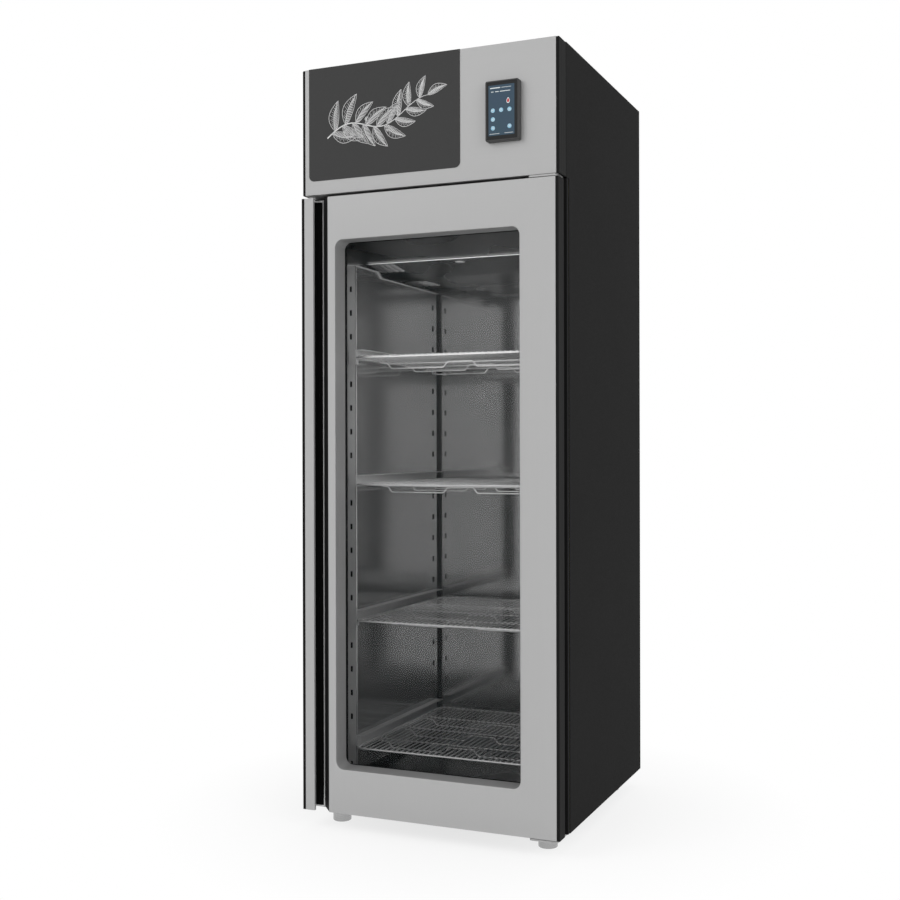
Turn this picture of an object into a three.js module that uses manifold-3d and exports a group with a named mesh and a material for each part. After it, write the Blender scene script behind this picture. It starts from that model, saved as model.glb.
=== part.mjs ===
// Dry aging cabinet with one glazed door, four wire shelves and a machine compartment on top.
// Millimetres. X runs to the right and Z up from the floor. While the pieces are made, Y runs back
// from the front of the door; the finished group is then centred on its own depth.

import * as THREE from 'three';
import { mergeVertices } from 'three/addons/utils/BufferGeometryUtils.js';
import Module from 'manifold-3d';

const wasm = await Module();
wasm.setup();

// Driving sizes
const overall = { width: 740, depth: 794, height: 2080 };
const headerHeight = 346.3;
const footHeight = 46;
const wall = { side: 40, rear: 66, floor: 64, ceiling: 60.7 };
const sheet = 1;
const frontSheet = 1.2;

// Clearances: between pieces that touch, round the door, and how far a cutting tool overruns
const seat = 0.3;
const doorGap = { top: 8.4, bottom: 3 };
const overrun = 5;
const gridSteps = 1024;

const halfWidth = overall.width / 2;
const headerBottom = overall.height - headerHeight;
const headerTop = overall.height - sheet;
const doorBottom = footHeight + doorGap.bottom;
const doorTop = headerBottom - doorGap.top;
const compartmentFloor = headerBottom + sheet + seat;
const compartmentHeight = headerTop - sheet - compartmentFloor;

// Door, with its front face at depth zero
const door = {
  bodyDepth: 42, stepDepth: 57.4, stepInset: 9, edgeWidth: 8, skinReturn: 12, rimWidth: 8,
  gripWidth: 80, windowRadius: 22, revealDepth: 57.7,
};
const windowMargin = { left: 102.6, right: 105.5, bottom: 120.5, top: 119.3 };
const windowEdge = {
  left: windowMargin.left - halfWidth,
  right: halfWidth - windowMargin.right,
  bottom: doorBottom + windowMargin.bottom,
  top: doorTop - windowMargin.top,
};
const skinLeft = door.gripWidth - halfWidth;
const skinRight = halfWidth - door.edgeWidth;
const glazing = { margin: 14, pane: 4, gap: 10.8, spacerWidth: 10, spacerInset: 4 };
const outerPaneFront = door.revealDepth + seat;
const innerPaneFront = outerPaneFront + glazing.pane + glazing.gap;
const gasket = { depth: 14.9, sideInset: 24, endInset: 18, width: 24 };

// Grip along the door's free edge, measured from that edge
const grip = {
  lipWidth: 35.5, lipReturn: 8, footWidth: 47, lining: 1.7, rim: 5, backInset: 4, pocketInset: 13,
  pocketWidth: 27, pocketDepth: 12,
};

// Frame round the cavity's mouth, behind the door's seal
const mouth = { depth: 13.7, sideInset: 24, endInset: 18 };
const mouthFront = door.stepDepth + gasket.depth;
const mouthRear = mouthFront + mouth.depth;

// Cold cavity, measured to the faces of its stainless liner
const cavity = {
  halfWidth: halfWidth - wall.side,
  front: mouthRear + 2 * seat,
  rear: overall.depth - wall.rear,
  floor: footHeight + wall.floor,
  ceiling: headerBottom - wall.ceiling,
};
const linerLip = 12;

// Outer panels
const innerHalf = halfWidth - sheet - seat;
const innerRear = overall.depth - 2 * (sheet + seat);
const panel = { return: 30, setback: 22 };
const panelFront = mouthRear - panel.setback;
const slot = { widthShare: 0.23, gapShare: 0.055, height: 8, pitch: 22 };
const rearVent = { rows: 8, columns: 2, rise: 171 };
const topVent = { rows: 6, columns: 2, rearInset: 234 };

// Ceiling tray that carries the cold air under the evaporator
const tray = {
  frontGap: 13.4, frontDrop: 62, foldDrop: 89, flatDrop: 113, foldShare: 0.338, flatShare: 0.6215,
  ventSideGap: 8, ventWidth: 80, ventRows: 4, ventColumns: 2, ventSlot: 5, ventBridge: 8,
  frontVentShares: [0.05, 0.52], rearVentShares: [0.25, 0.71],
};
const trayFront = cavity.front + tray.frontGap;
const trayFold = mouthRear + tray.foldShare * (cavity.rear - mouthRear);
const trayFlat = mouthRear + tray.flatShare * (cavity.rear - mouthRear);
const lightBar = { width: 9, depth: 5, sideGap: 6 };

// Slotted side racks
const rack = {
  standoff: 50, frontGap: 60, rearGap: 21, fold: 22, lip: 8, lift: 18, footDepth: 26,
  topDrop: 118, step: 16, stepLead: 25, stepRun: 24,
};
const rackFace = cavity.halfWidth - rack.standoff;
const rackFront = mouthRear + rack.frontGap;
const rackRear = cavity.rear - rack.rearGap;
const rackBottom = cavity.floor + rack.lift;
const rackTop = cavity.ceiling - rack.topDrop;
const rackSlot = { width: 7, height: 13, pitch: 67.2, lift: 16.4, topGap: 40, inset: 16, rearInset: 29 };
const rackPin = { radius: 3.5, inset: 15, sides: 8, liftShares: [0.142, 0.547] };

// Shelves, and the runners that carry them
const shelf = {
  levelShares: [0.0601, 0.2873, 0.5304, 0.7575],
  sideGap: 15, frontGap: 16, rearGap: 31, cornerRadius: 14, railRadius: 3, railSides: 6,
  wireRadius: 1.5, wireSides: 4, wireCount: 32, wireInset: 14.5,
  crossRadius: 2, crossSides: 4, crossDrop: 9, kinkDrop: 16, kinkRun: 13, kinkSpacing: 29,
  kinkOuterShare: 0.785, kinkInnerShare: 0.143, kinkDepthShares: [0.232, 0.5, 0.761],
  endFlat: 8, endRun: 8,
};
const shelfHalfWidth = rackFace - shelf.sideGap;
const shelfFront = mouthRear + shelf.frontGap;
const shelfRear = cavity.rear - shelf.rearGap;
const shelfLevels = shelf.levelShares.map((share) => cavity.floor + share * (cavity.ceiling - cavity.floor));
const runner = { thickness: 1.5, height: 30, flange: 22, rearInset: 7, earWidth: 12, earMargin: 9 };
const hook = { height: 9, width: 4, reach: 3 };

// Cooling circuit: the cold side in the ceiling, the hot side in the compartment above it
const coil = { sideGap: 100, rearGap: 48, depth: 160, lift: 24, finPitch: 40, finGap: 6, finDepth: 8 };
const coldFan = { coilGap: 80, sideGap: 80, radiusShare: 0.38, placeShare: 0.74, running: 2.5 };
const hotFan = { rearInset: 154, radiusShare: 0.4, running: 4, inset: 10 };
const condenser = {
  sideInset: 100, gap: 40, fanGap: 80, depth: 90, headroom: 63, finPitch: 42, finGap: 6, finDepth: 9,
};
const fan = {
  blades: 5, hubShare: 0.3, rootShare: 0.2, sweepAngle: 0.75, tiltAngle: 0.28, bladeThickness: 2,
  hubDepth: 28, hubSides: 12, ringSides: 20, axleRadius: 4, axleSides: 12, motorShare: 0.75, motorDepth: 30,
};
const compressor = {
  sideInset: 185, rearInset: 234, radius: 92, height: 190, domeShare: 0.28, sides: 16,
  footWidth: 230, footDepth: 160, footHeight: 14, footRadius: 20,
};
const controlBox = {
  sideInset: 60, frontGap: 29, width: 240, depth: 150, height: 110, lidInset: 6, lidHeight: 14,
};
const gland = {
  sideInset: 80, rise: 66, flangeRadius: 17, flangeDepth: 4, bodyRadius: 12, bodyLength: 16, bore: 5,
  sides: 10,
};

// Header
const header = { setback: 6.7, endWidth: 8, endTopGap: 1 };
const display = {
  sideInset: 146.6, rise: 168.1, width: 91.4, height: 154.5, proud: 20, radius: 5,
  screenMargin: 4, screenRecess: 0.8, screenDepth: 2, screenRadius: 3,
};
const displayX = halfWidth - display.sideInset;
const artPanel = {
  leftInset: 20.6, displayGap: 78.1, rise: 37.8, thickness: 1, leftRadius: 8, rightRadius: 15,
};

// Feet
const foot = {
  sideInset: 66.3, frontInset: 17, rearInset: 103, radius: 25.5, rimRadius: 4, rimSteps: 2, sides: 16,
};

// Pivot hinges, measured from the door's hinged edge
const hinge = {
  axisInset: 18, axisDepth: 21, pinRadius: 5, pinClearance: 1.2, pinLength: 12, sides: 12, plate: 5,
  plateInset: 4, plateWidth: 81, frontDepth: 8, shoulderInset: 45, shoulderDepth: 20, tailInset: 39,
  tailLength: 54,
};

const finishes = {
  stainless: { color: 0xb1b1b1, roughness: 0.35, metalness: 1 },
  mirrorStainless: { color: 0x9a9a9a, roughness: 0.16, metalness: 1 },
  blackSteel: { color: 0x292929, roughness: 0.5, metalness: 0.2 },
  blackPlastic: { color: 0x1c1c1c, roughness: 0.55, metalness: 0 },
  darkPanel: { color: 0x3f3f3f, roughness: 0.4, metalness: 0 },
  wire: { color: 0xc4c4c4, roughness: 0.25, metalness: 1 },
  galvanised: { color: 0x8d9092, roughness: 0.5, metalness: 0.9 },
  foam: { color: 0xd8cf9c, roughness: 0.9, metalness: 0 },
  glass: { color: 0xdfe8e8, roughness: 0.05, metalness: 0 },
  screen: { color: 0x3f4f5c, roughness: 0.15, metalness: 0 },
  light: { color: 0xffffff, roughness: 0.4, metalness: 0 },
  rubber: { color: 0x151515, roughness: 0.8, metalness: 0 },
};

const assembly = new THREE.Group();

const axisX = new THREE.Vector3(1, 0, 0);
const axisY = new THREE.Vector3(0, 1, 0);
const axisZ = new THREE.Vector3(0, 0, 1);

// Where an outline's own axes and its extrusion point, for outlines drawn in each plane
const planes = {
  xy: new THREE.Matrix4(),
  xz: new THREE.Matrix4().makeBasis(axisX, axisZ, axisY.clone().negate()),
  yz: new THREE.Matrix4().makeBasis(axisY, axisZ, axisX),
};

// A closed geometry as a solid that can be joined and cut. Its corners go to a fine grid,
// so that faces meant to lie in one plane do.
function solidOf(geometry) {
  const bare = geometry.clone();
  bare.deleteAttribute('normal');
  bare.deleteAttribute('uv');
  const spots = bare.attributes.position.array;
  spots.forEach((value, i) => {
    spots[i] = Math.round(value * gridSteps) / gridSteps;
  });
  const merged = mergeVertices(bare);
  const corners = merged.index.array;
  const kept = [];
  for (let i = 0; i < corners.length; i += 3) {
    const [a, b, c] = [corners[i], corners[i + 1], corners[i + 2]];
    if (a !== b && b !== c && c !== a) kept.push(a, b, c);
  }
  return new wasm.Manifold(new wasm.Mesh({
    numProp: 3,
    vertProperties: new Float32Array(merged.attributes.position.array),
    triVerts: new Uint32Array(kept),
  }));
}

function geometryOf(solid) {
  const mesh = solid.getMesh();
  const geometry = new THREE.BufferGeometry();
  geometry.setAttribute('position', new THREE.BufferAttribute(mesh.vertProperties, 3));
  geometry.setIndex(new THREE.BufferAttribute(mesh.triVerts, 1));
  geometry.computeVertexNormals();
  return geometry;
}

function addPiece(name, finish, solid) {
  const mesh = new THREE.Mesh(geometryOf(solid), new THREE.MeshStandardMaterial(finishes[finish]));
  mesh.name = name;
  assembly.add(mesh);
}

function join(solids) {
  return solids.reduce((whole, solid) => whole.add(solid));
}

// The interval of a given size about a middle
function around(middle, size) {
  return [middle - size / 2, middle + size / 2];
}

// An interval with both ends moved outwards
function widened([from, to], by) {
  return [from - by, to + by];
}

function block([x0, x1], [y0, y1], [z0, z1]) {
  const box = new THREE.BoxGeometry(x1 - x0, y1 - y0, z1 - z0);
  box.translate((x0 + x1) / 2, (y0 + y1) / 2, (z0 + z1) / 2);
  return solidOf(box);
}

function outlineOf(points) {
  return new THREE.Shape(points.map(([a, b]) => new THREE.Vector2(a, b)));
}

function squareOutline([a0, a1], [b0, b1]) {
  return outlineOf([[a0, b0], [a1, b0], [a1, b1], [a0, b1]]);
}

function roundedOutline([a0, a1], [b0, b1], radius) {
  const outline = new THREE.Shape();
  const quarter = Math.PI / 2;
  outline.absarc(a1 - radius, b0 + radius, radius, -quarter, 0);
  outline.absarc(a1 - radius, b1 - radius, radius, 0, quarter);
  outline.absarc(a0 + radius, b1 - radius, radius, quarter, 2 * quarter);
  outline.absarc(a0 + radius, b0 + radius, radius, 2 * quarter, 3 * quarter);
  outline.closePath();
  return outline;
}

function prism(plane, outline, [from, to], curveSegments = 4) {
  const options = { depth: to - from, bevelEnabled: false, curveSegments };
  const geometry = new THREE.ExtrudeGeometry(outline, options);
  geometry.translate(0, 0, plane === 'xz' ? -to : from);
  geometry.applyMatrix4(planes[plane]);
  return solidOf(geometry);
}

function disc(plane, [a, b], radius, [from, to], sides) {
  const round = new THREE.CylinderGeometry(radius, radius, to - from, sides);
  round.rotateX(Math.PI / 2);
  round.translate(a, b, (plane === 'xz' ? -1 : 1) * (from + to) / 2);
  round.applyMatrix4(planes[plane]);
  return solidOf(round);
}

// A body of revolution about Z; the profile runs from the axis round to the axis, bottom first
function turned(profile, sides) {
  const geometry = new THREE.LatheGeometry(profile.map(([r, z]) => new THREE.Vector2(r, z)), sides);
  geometry.rotateX(Math.PI / 2);
  return solidOf(geometry);
}

// A wire through the points, mitred where it bends. flat is the direction square to its bends.
// An open wire has flats towards it, and a closed one has corners.
function wire(points, flat, radius, sides, closed = false) {
  const startShare = closed ? 0 : 0.5;
  const positions = [];
  const corners = [];
  const last = points.length - 1;
  points.forEach((point, i) => {
    const next = points[i < last ? i + 1 : 0];
    const previous = points[i > 0 ? i - 1 : last];
    const arriving = point.clone().sub(previous).normalize();
    const leaving = next.clone().sub(point).normalize();
    if (!closed && i === 0) arriving.copy(leaving);
    if (!closed && i === last) leaving.copy(arriving);
    const along = arriving.clone().add(leaving).normalize();
    const across = along.clone().cross(flat);
    const stretch = 1 / along.dot(arriving);
    for (let k = 0; k < sides; k += 1) {
      const angle = (k + startShare) * 2 * Math.PI / sides;
      const spot = point.clone();
      spot.addScaledVector(flat, radius * Math.cos(angle));
      spot.addScaledVector(across, radius * stretch * Math.sin(angle));
      positions.push(spot.x, spot.y, spot.z);
    }
  });
  const rings = closed ? points.length : last;
  for (let i = 0; i < rings; i += 1) {
    const here = i * sides;
    const there = ((i + 1) % points.length) * sides;
    for (let k = 0; k < sides; k += 1) {
      const turn = (k + 1) % sides;
      corners.push(here + k, here + turn, there + turn, here + k, there + turn, there + k);
    }
  }
  for (let k = 1; !closed && k < sides - 1; k += 1) {
    corners.push(0, k + 1, k, last * sides, last * sides + k, last * sides + k + 1);
  }
  const geometry = new THREE.BufferGeometry();
  geometry.setAttribute('position', new THREE.Float32BufferAttribute(positions, 3));
  geometry.setIndex(corners);
  return solidOf(geometry);
}

// Left and right copies of a piece: build gets the side's name and -1 or 1
function bothSides(build) {
  build('left', -1);
  build('right', 1);
}

// An outline on one side of the centre plane, given as distances from it
function sidedOutline(side, points) {
  return outlineOf(points.map(([across, other]) => [side * across, other]));
}

// An interval on one side of the centre plane, given its distances from it
function sideSpan(side, near, far) {
  return side < 0 ? [-far, -near] : [near, far];
}

// A pattern of air slots about a centre, as one cutting tool
function slotPattern(plane, [centreA, centreB], { rows, columns }, depth) {
  const width = slot.widthShare * overall.width;
  const pitch = width + slot.gapShare * overall.width;
  const slots = [];
  for (let column = 0; column < columns; column += 1) {
    for (let row = 0; row < rows; row += 1) {
      const across = around(centreA + (column - (columns - 1) / 2) * pitch, width);
      const up = around(centreB + (row - (rows - 1) / 2) * slot.pitch, slot.height);
      slots.push(prism(plane, squareOutline(across, up), widened(depth, overrun)));
    }
  }
  return join(slots);
}

// Folded side panels, notched where the door's frame stands in front of them
function buildSidePanels() {
  bothSides((name, side) => {
    const folded = sidedOutline(side, [
      [halfWidth, panelFront], [halfWidth, overall.depth], [halfWidth - panel.return, overall.depth],
      [halfWidth - panel.return, overall.depth - sheet], [halfWidth - sheet, overall.depth - sheet],
      [halfWidth - sheet, panelFront],
    ]);
    const notch = block(
      widened(sideSpan(side, halfWidth - sheet, halfWidth), overrun),
      [panelFront - overrun, mouthRear], [footHeight - overrun, headerBottom],
    );
    const whole = prism('xy', folded, [footHeight, overall.height]);
    addPiece(`side_panel_${name}`, 'blackSteel', whole.subtract(notch));
  });
}

function buildFlatPanels() {
  const across = [-innerHalf, innerHalf];
  const rear = [innerRear + seat, innerRear + seat + sheet];
  addPiece('rear_panel', 'galvanised', block(across, rear, [footHeight, headerTop])
    .subtract(slotPattern('xz', [0, headerBottom + rearVent.rise], rearVent, rear)));

  const behindFrame = [mouthRear + seat, innerRear];
  addPiece('base_panel', 'galvanised', block(across, behindFrame, [footHeight, footHeight + sheet]));
  const deckHeight = [headerBottom, headerBottom + sheet];
  addPiece('compartment_deck', 'galvanised', block(across, behindFrame, deckHeight));

  const top = [headerTop - sheet, headerTop];
  addPiece('top_cover', 'blackSteel', block(across, [panelFront, innerRear], top)
    .subtract(slotPattern('xy', [0, overall.depth - topVent.rearInset], topVent, top)));
}

function buildInsulation() {
  const skin = sheet + seat;
  const shell = block(
    [seat - innerHalf, innerHalf - seat], [cavity.front, innerRear - seat],
    [footHeight + skin, headerBottom - seat],
  );
  const hollow = block(
    widened([-cavity.halfWidth, cavity.halfWidth], skin), [cavity.front - overrun, cavity.rear + skin],
    widened([cavity.floor, cavity.ceiling], skin),
  );
  addPiece('wall_insulation', 'foam', shell.subtract(hollow));
}

function buildLiner() {
  const height = [cavity.floor + seat, cavity.ceiling - seat];
  bothSides((name, side) => {
    const folded = sidedOutline(side, [
      [cavity.halfWidth - linerLip, cavity.front], [cavity.halfWidth + sheet, cavity.front],
      [cavity.halfWidth + sheet, cavity.rear - seat], [cavity.halfWidth, cavity.rear - seat],
      [cavity.halfWidth, cavity.front + sheet], [cavity.halfWidth - linerLip, cavity.front + sheet],
    ]);
    addPiece(`liner_${name}`, 'mirrorStainless', prism('xy', folded, height));
  });
  const across = widened([-cavity.halfWidth, cavity.halfWidth], sheet);
  const deep = [cavity.front, cavity.rear + sheet];
  addPiece('liner_rear', 'mirrorStainless', block(across, [cavity.rear, cavity.rear + sheet], height));
  addPiece('liner_floor', 'mirrorStainless', block(across, deep, [cavity.floor - sheet, cavity.floor]));
  const ceiling = [cavity.ceiling, cavity.ceiling + sheet];
  addPiece('liner_ceiling', 'mirrorStainless', block(across, deep, ceiling));
}

function buildDoorFrame() {
  const outline = squareOutline([-innerHalf, innerHalf], [footHeight + seat, headerBottom - seat]);
  outline.holes.push(squareOutline(
    [mouth.sideInset - cavity.halfWidth, cavity.halfWidth - mouth.sideInset],
    [cavity.floor + mouth.endInset, cavity.ceiling - mouth.endInset],
  ));
  addPiece('door_frame', 'blackPlastic', prism('xz', outline, [mouthFront, mouthRear]));
}

// Heights of the middles of a rack's slots
function slotLevels() {
  const levels = [];
  const highest = rackTop - rack.step - rackSlot.topGap;
  for (let z = rackBottom + rackSlot.lift; z < highest; z += rackSlot.pitch) levels.push(z);
  return levels;
}

// A side rack without its holes. It is cut from its envelope: first under the lip, then behind
// the fold, then beside the fold.
function foldedRack(side) {
  const lowTop = rackTop - rack.step;
  const stepFront = trayFold - rack.stepLead;
  const legBottom = cavity.floor + seat;
  const legFront = rackFront + rack.footDepth;
  const legRear = rackRear - rack.footDepth;
  const sideView = outlineOf([
    [rackFront, legBottom], [legFront, legBottom], [legFront, rackBottom], [legRear, rackBottom],
    [legRear, legBottom], [rackRear, legBottom], [rackRear, lowTop],
    [stepFront + rack.stepRun, lowTop], [stepFront, rackTop], [rackFront, rackTop],
  ]);
  const underLip = outlineOf([
    [rackFront - overrun, rackTop - sheet], [rackFront - overrun, 0], [rackRear + overrun, 0],
    [rackRear + overrun, lowTop - sheet], [stepFront + rack.stepRun, lowTop - sheet],
    [stepFront, rackTop - sheet],
  ]);
  const inside = prism('yz', underLip, sideSpan(side, rackFace - rack.lip - overrun, rackFace));
  const outside = block(
    sideSpan(side, rackFace + sheet, cavity.halfWidth + overrun),
    [rackFront + sheet, rackRear - sheet], [0, overall.height],
  );
  const besideFold = block(
    sideSpan(side, rackFace + rack.fold, cavity.halfWidth + 2 * overrun),
    [rackFront - overrun, rackFront + overrun], widened([0, overall.height], overrun),
  );
  return prism('yz', sideView, sideSpan(side, rackFace - rack.lip, cavity.halfWidth - seat))
    .subtract(inside).subtract(outside).subtract(besideFold);
}

function rackHoles(side) {
  const throughFold = widened([rackFront, rackFront + sheet], overrun);
  const throughFace = widened(sideSpan(side, rackFace, rackFace + sheet), overrun);
  const foldSlot = around(side * (rackFace + rackSlot.inset), rackSlot.width);
  const faceSlot = around(rackRear - rackSlot.rearInset, rackSlot.width);
  const slots = slotLevels().flatMap((level) => [
    block(foldSlot, throughFold, around(level, rackSlot.height)),
    block(throughFace, faceSlot, around(level, rackSlot.height)),
  ]);
  const pinHoles = rackPin.liftShares.map((share) => {
    const middle = [rackFront + rackPin.inset, rackBottom + share * (rackTop - rackBottom)];
    return disc('yz', middle, rackPin.radius, throughFace, rackPin.sides);
  });
  return join([...slots, ...pinHoles]);
}

function buildRacks() {
  bothSides((name, side) => {
    addPiece(`rack_panel_${name}`, 'mirrorStainless', foldedRack(side).subtract(rackHoles(side)));
  });
}

// A channel open to the middle. It hooks into the slots nearest its shelf: in front through an ear
// that stands before the rack's fold, and at the rear through the rack's face.
function shelfRunner(side, level) {
  const slotDepth = rackRear - rackSlot.rearInset;
  const nearest = slotLevels().reduce((a, b) => (Math.abs(b - level) < Math.abs(a - level) ? b : a));
  const floorTop = level - shelf.railRadius - seat;
  const low = floorTop - runner.thickness;
  const high = low + runner.height;
  const outer = rackFace - seat;
  const inner = outer - runner.thickness;
  const tip = outer - runner.flange;
  const slotX = rackFace + rackSlot.inset;
  const earSide = slotX + runner.earWidth / 2;
  const earRear = rackFront - seat;
  const earFront = earRear - runner.thickness;
  const rear = rackRear - runner.rearInset;
  const tabs = [Math.min(low, nearest - runner.earMargin), Math.max(high, nearest + runner.earMargin)];
  const plan = sidedOutline(side, [
    [tip, earFront], [earSide, earFront], [earSide, earRear], [outer, earRear], [outer, rear], [tip, rear],
  ]);
  const length = widened([earFront, rear], overrun);
  const insideWeb = sideSpan(side, tip - overrun, inner);
  const betweenTabs = [rackFront + runner.earWidth, slotDepth - runner.earWidth / 2];
  const cuts = [block(insideWeb, length, [floorTop, high - runner.thickness])];
  [[high, tabs[1] + overrun], [tabs[0] - overrun, low]].forEach((heights) => {
    cuts.push(block(insideWeb, length, heights));
    cuts.push(block(sideSpan(side, tip - overrun, outer + overrun), betweenTabs, heights));
  });
  const hookHeight = around(nearest, hook.height);
  const frontHook = [earFront + runner.thickness / 2, rackFront + sheet + hook.reach];
  const rearHook = sideSpan(side, inner + runner.thickness / 2, rackFace + sheet + hook.reach);
  return join([
    prism('xy', plan, tabs).subtract(join(cuts)),
    block(around(side * slotX, hook.width), frontHook, hookHeight),
    block(rearHook, around(slotDepth, hook.width), hookHeight),
  ]);
}

function buildRunners() {
  shelfLevels.forEach((level, i) => {
    bothSides((name, side) => {
      addPiece(`shelf_runner_${name}_${i + 1}`, 'stainless', shelfRunner(side, level));
    });
  });
}

// Points of a wire from the left rail to the right one, for its turns on the left half
function crossWire(turns, depth) {
  const mirrored = [...turns].reverse().map(([x, z]) => [-x, z]);
  return [...turns, ...mirrored].map(([x, z]) => new THREE.Vector3(x, depth, z));
}

// Pairs of cross wires under the shelf, one kinked and one straight
function crossWires(level, halfRail) {
  const high = level - shelf.crossDrop;
  const low = high - shelf.kinkDrop;
  const flatEnd = shelf.endFlat - halfRail;
  const outerKink = -shelf.kinkOuterShare * shelfHalfWidth;
  const innerKink = -shelf.kinkInnerShare * shelfHalfWidth;
  const ends = [[-halfRail, level], [flatEnd, level], [flatEnd + shelf.endRun, high]];
  const kinks = [
    [outerKink, high], [outerKink + shelf.kinkRun, low], [innerKink - shelf.kinkRun, low], [innerKink, high],
  ];
  return shelf.kinkDepthShares.flatMap((share) => {
    const depth = shelfFront + share * (shelfRear - shelfFront);
    const lines = [crossWire([...ends, ...kinks], depth), crossWire(ends, depth + shelf.kinkSpacing)];
    return lines.map((line) => wire(line, axisY, shelf.crossRadius, shelf.crossSides));
  });
}

function wireShelf(level) {
  const halfRail = shelfHalfWidth - shelf.railRadius;
  const depth = [shelfFront + shelf.railRadius, shelfRear - shelf.railRadius];
  const loop = roundedOutline([-halfRail, halfRail], depth, shelf.cornerRadius).getPoints(2);
  if (loop[0].distanceTo(loop[loop.length - 1]) < shelf.railRadius) loop.pop();
  const rail = loop.map((point) => new THREE.Vector3(point.x, point.y, level));
  const outermost = shelfHalfWidth - shelf.wireInset;
  const wires = Array.from({ length: shelf.wireCount }, (_, i) => {
    const x = outermost * (2 * i / (shelf.wireCount - 1) - 1);
    const line = depth.map((y) => new THREE.Vector3(x, y, level));
    return wire(line, axisX, shelf.wireRadius, shelf.wireSides);
  });
  return join([
    wire(rail, axisZ, shelf.railRadius, shelf.railSides, true),
    ...wires,
    ...crossWires(level, halfRail),
  ]);
}

function buildShelves() {
  shelfLevels.forEach((level, i) => addPiece(`wire_shelf_${i + 1}`, 'wire', wireShelf(level)));
}

// Height of the tray's upper face at a depth between its fold and its flat
function trayLevelAt(depth) {
  const share = (depth - trayFold) / (trayFlat - trayFold);
  return cavity.ceiling - tray.foldDrop - share * (tray.flatDrop - tray.foldDrop) + sheet;
}

// Rows of slots at one side of a stretch of the tray
function trayVent(side, [from, to], shares) {
  const [start, end] = shares.map((share) => from + share * (to - from));
  const length = (end - start - (tray.ventColumns - 1) * tray.ventBridge) / tray.ventColumns;
  const rowPitch = (tray.ventWidth - tray.ventSlot) / (tray.ventRows - 1);
  const innermost = cavity.halfWidth - tray.ventSideGap - tray.ventWidth;
  const through = [cavity.ceiling - tray.flatDrop - overrun, cavity.ceiling - tray.frontDrop];
  const slots = [];
  for (let row = 0; row < tray.ventRows; row += 1) {
    for (let column = 0; column < tray.ventColumns; column += 1) {
      const near = innermost + row * rowPitch;
      const y = start + column * (length + tray.ventBridge);
      slots.push(block(sideSpan(side, near, near + tray.ventSlot), [y, y + length], through));
    }
  }
  return join(slots);
}

function buildTray() {
  const reach = cavity.halfWidth - seat;
  const under = [
    [trayFront, cavity.ceiling - tray.frontDrop], [trayFold, cavity.ceiling - tray.foldDrop],
    [trayFlat, cavity.ceiling - tray.flatDrop], [cavity.rear - seat, cavity.ceiling - tray.flatDrop],
  ];
  const over = under.map(([y, z]) => [Math.max(y, trayFront + sheet), z + sheet]).reverse();
  const lip = [[trayFront + sheet, cavity.ceiling - seat], [trayFront, cavity.ceiling - seat]];
  let folded = prism('yz', outlineOf([...under, ...over, ...lip]), [-reach, reach]);
  [-1, 1].forEach((side) => {
    folded = folded.subtract(trayVent(side, [trayFold, trayFlat], tray.frontVentShares));
    folded = folded.subtract(trayVent(side, [trayFlat, cavity.rear], tray.rearVentShares));
  });
  addPiece('air_duct_shroud', 'mirrorStainless', folded);
}

// The light strip fits the sloping underside just in front of the tray's fold
function buildLightBar() {
  const slope = (tray.foldDrop - tray.frontDrop) / (trayFold - trayFront);
  const top = cavity.ceiling - tray.foldDrop - seat;
  const front = trayFold - lightBar.width;
  const reach = cavity.halfWidth - seat - lightBar.sideGap;
  addPiece('led_light_bar', 'light', prism('yz', outlineOf([
    [front, top - lightBar.depth], [trayFold, top - lightBar.depth], [trayFold, top],
    [front, top + slope * lightBar.width],
  ]), [-reach, reach]));
}

// Grooves between the fins at the front and back of a heat exchanger
function finGrooves([left, right], [front, rear], heights, exchanger) {
  const grooves = [];
  const middle = (left + right) / 2;
  const count = Math.floor((right - left) / exchanger.finPitch);
  for (let i = 0; i < count; i += 1) {
    const across = around(middle + (i - (count - 1) / 2) * exchanger.finPitch, exchanger.finGap);
    grooves.push(block(across, [front - overrun, front + exchanger.finDepth], heights));
    grooves.push(block(across, [rear - exchanger.finDepth, rear + overrun], heights));
  }
  return join(grooves);
}

// An axial fan's wheel, turning about Y
function fanWheel(radius, [x, z], depth) {
  const outline = new THREE.Shape();
  outline.absarc(0, 0, radius * fan.rootShare, 0, fan.sweepAngle);
  outline.absarc(0, 0, radius, fan.sweepAngle, 0, true);
  outline.closePath();
  const blades = Array.from({ length: fan.blades }, (_, i) => {
    const options = { depth: fan.bladeThickness, bevelEnabled: false, curveSegments: 4 };
    const blade = new THREE.ExtrudeGeometry(outline, options);
    blade.translate(0, 0, -fan.bladeThickness / 2);
    blade.rotateZ(-fan.sweepAngle / 2);
    blade.rotateX(fan.tiltAngle);
    blade.rotateZ(i * 2 * Math.PI / fan.blades);
    blade.applyMatrix4(planes.xz);
    blade.translate(x, depth, z);
    return solidOf(blade);
  });
  const hubDepth = around(depth, fan.hubDepth);
  const hub = disc('xz', [x, z], radius * fan.hubShare, hubDepth, fan.hubSides);
  const bore = hubDepth.map((y) => y + overrun);
  return join([hub, ...blades]).subtract(disc('xz', [x, z], fan.axleRadius + seat, bore, fan.axleSides));
}

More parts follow.
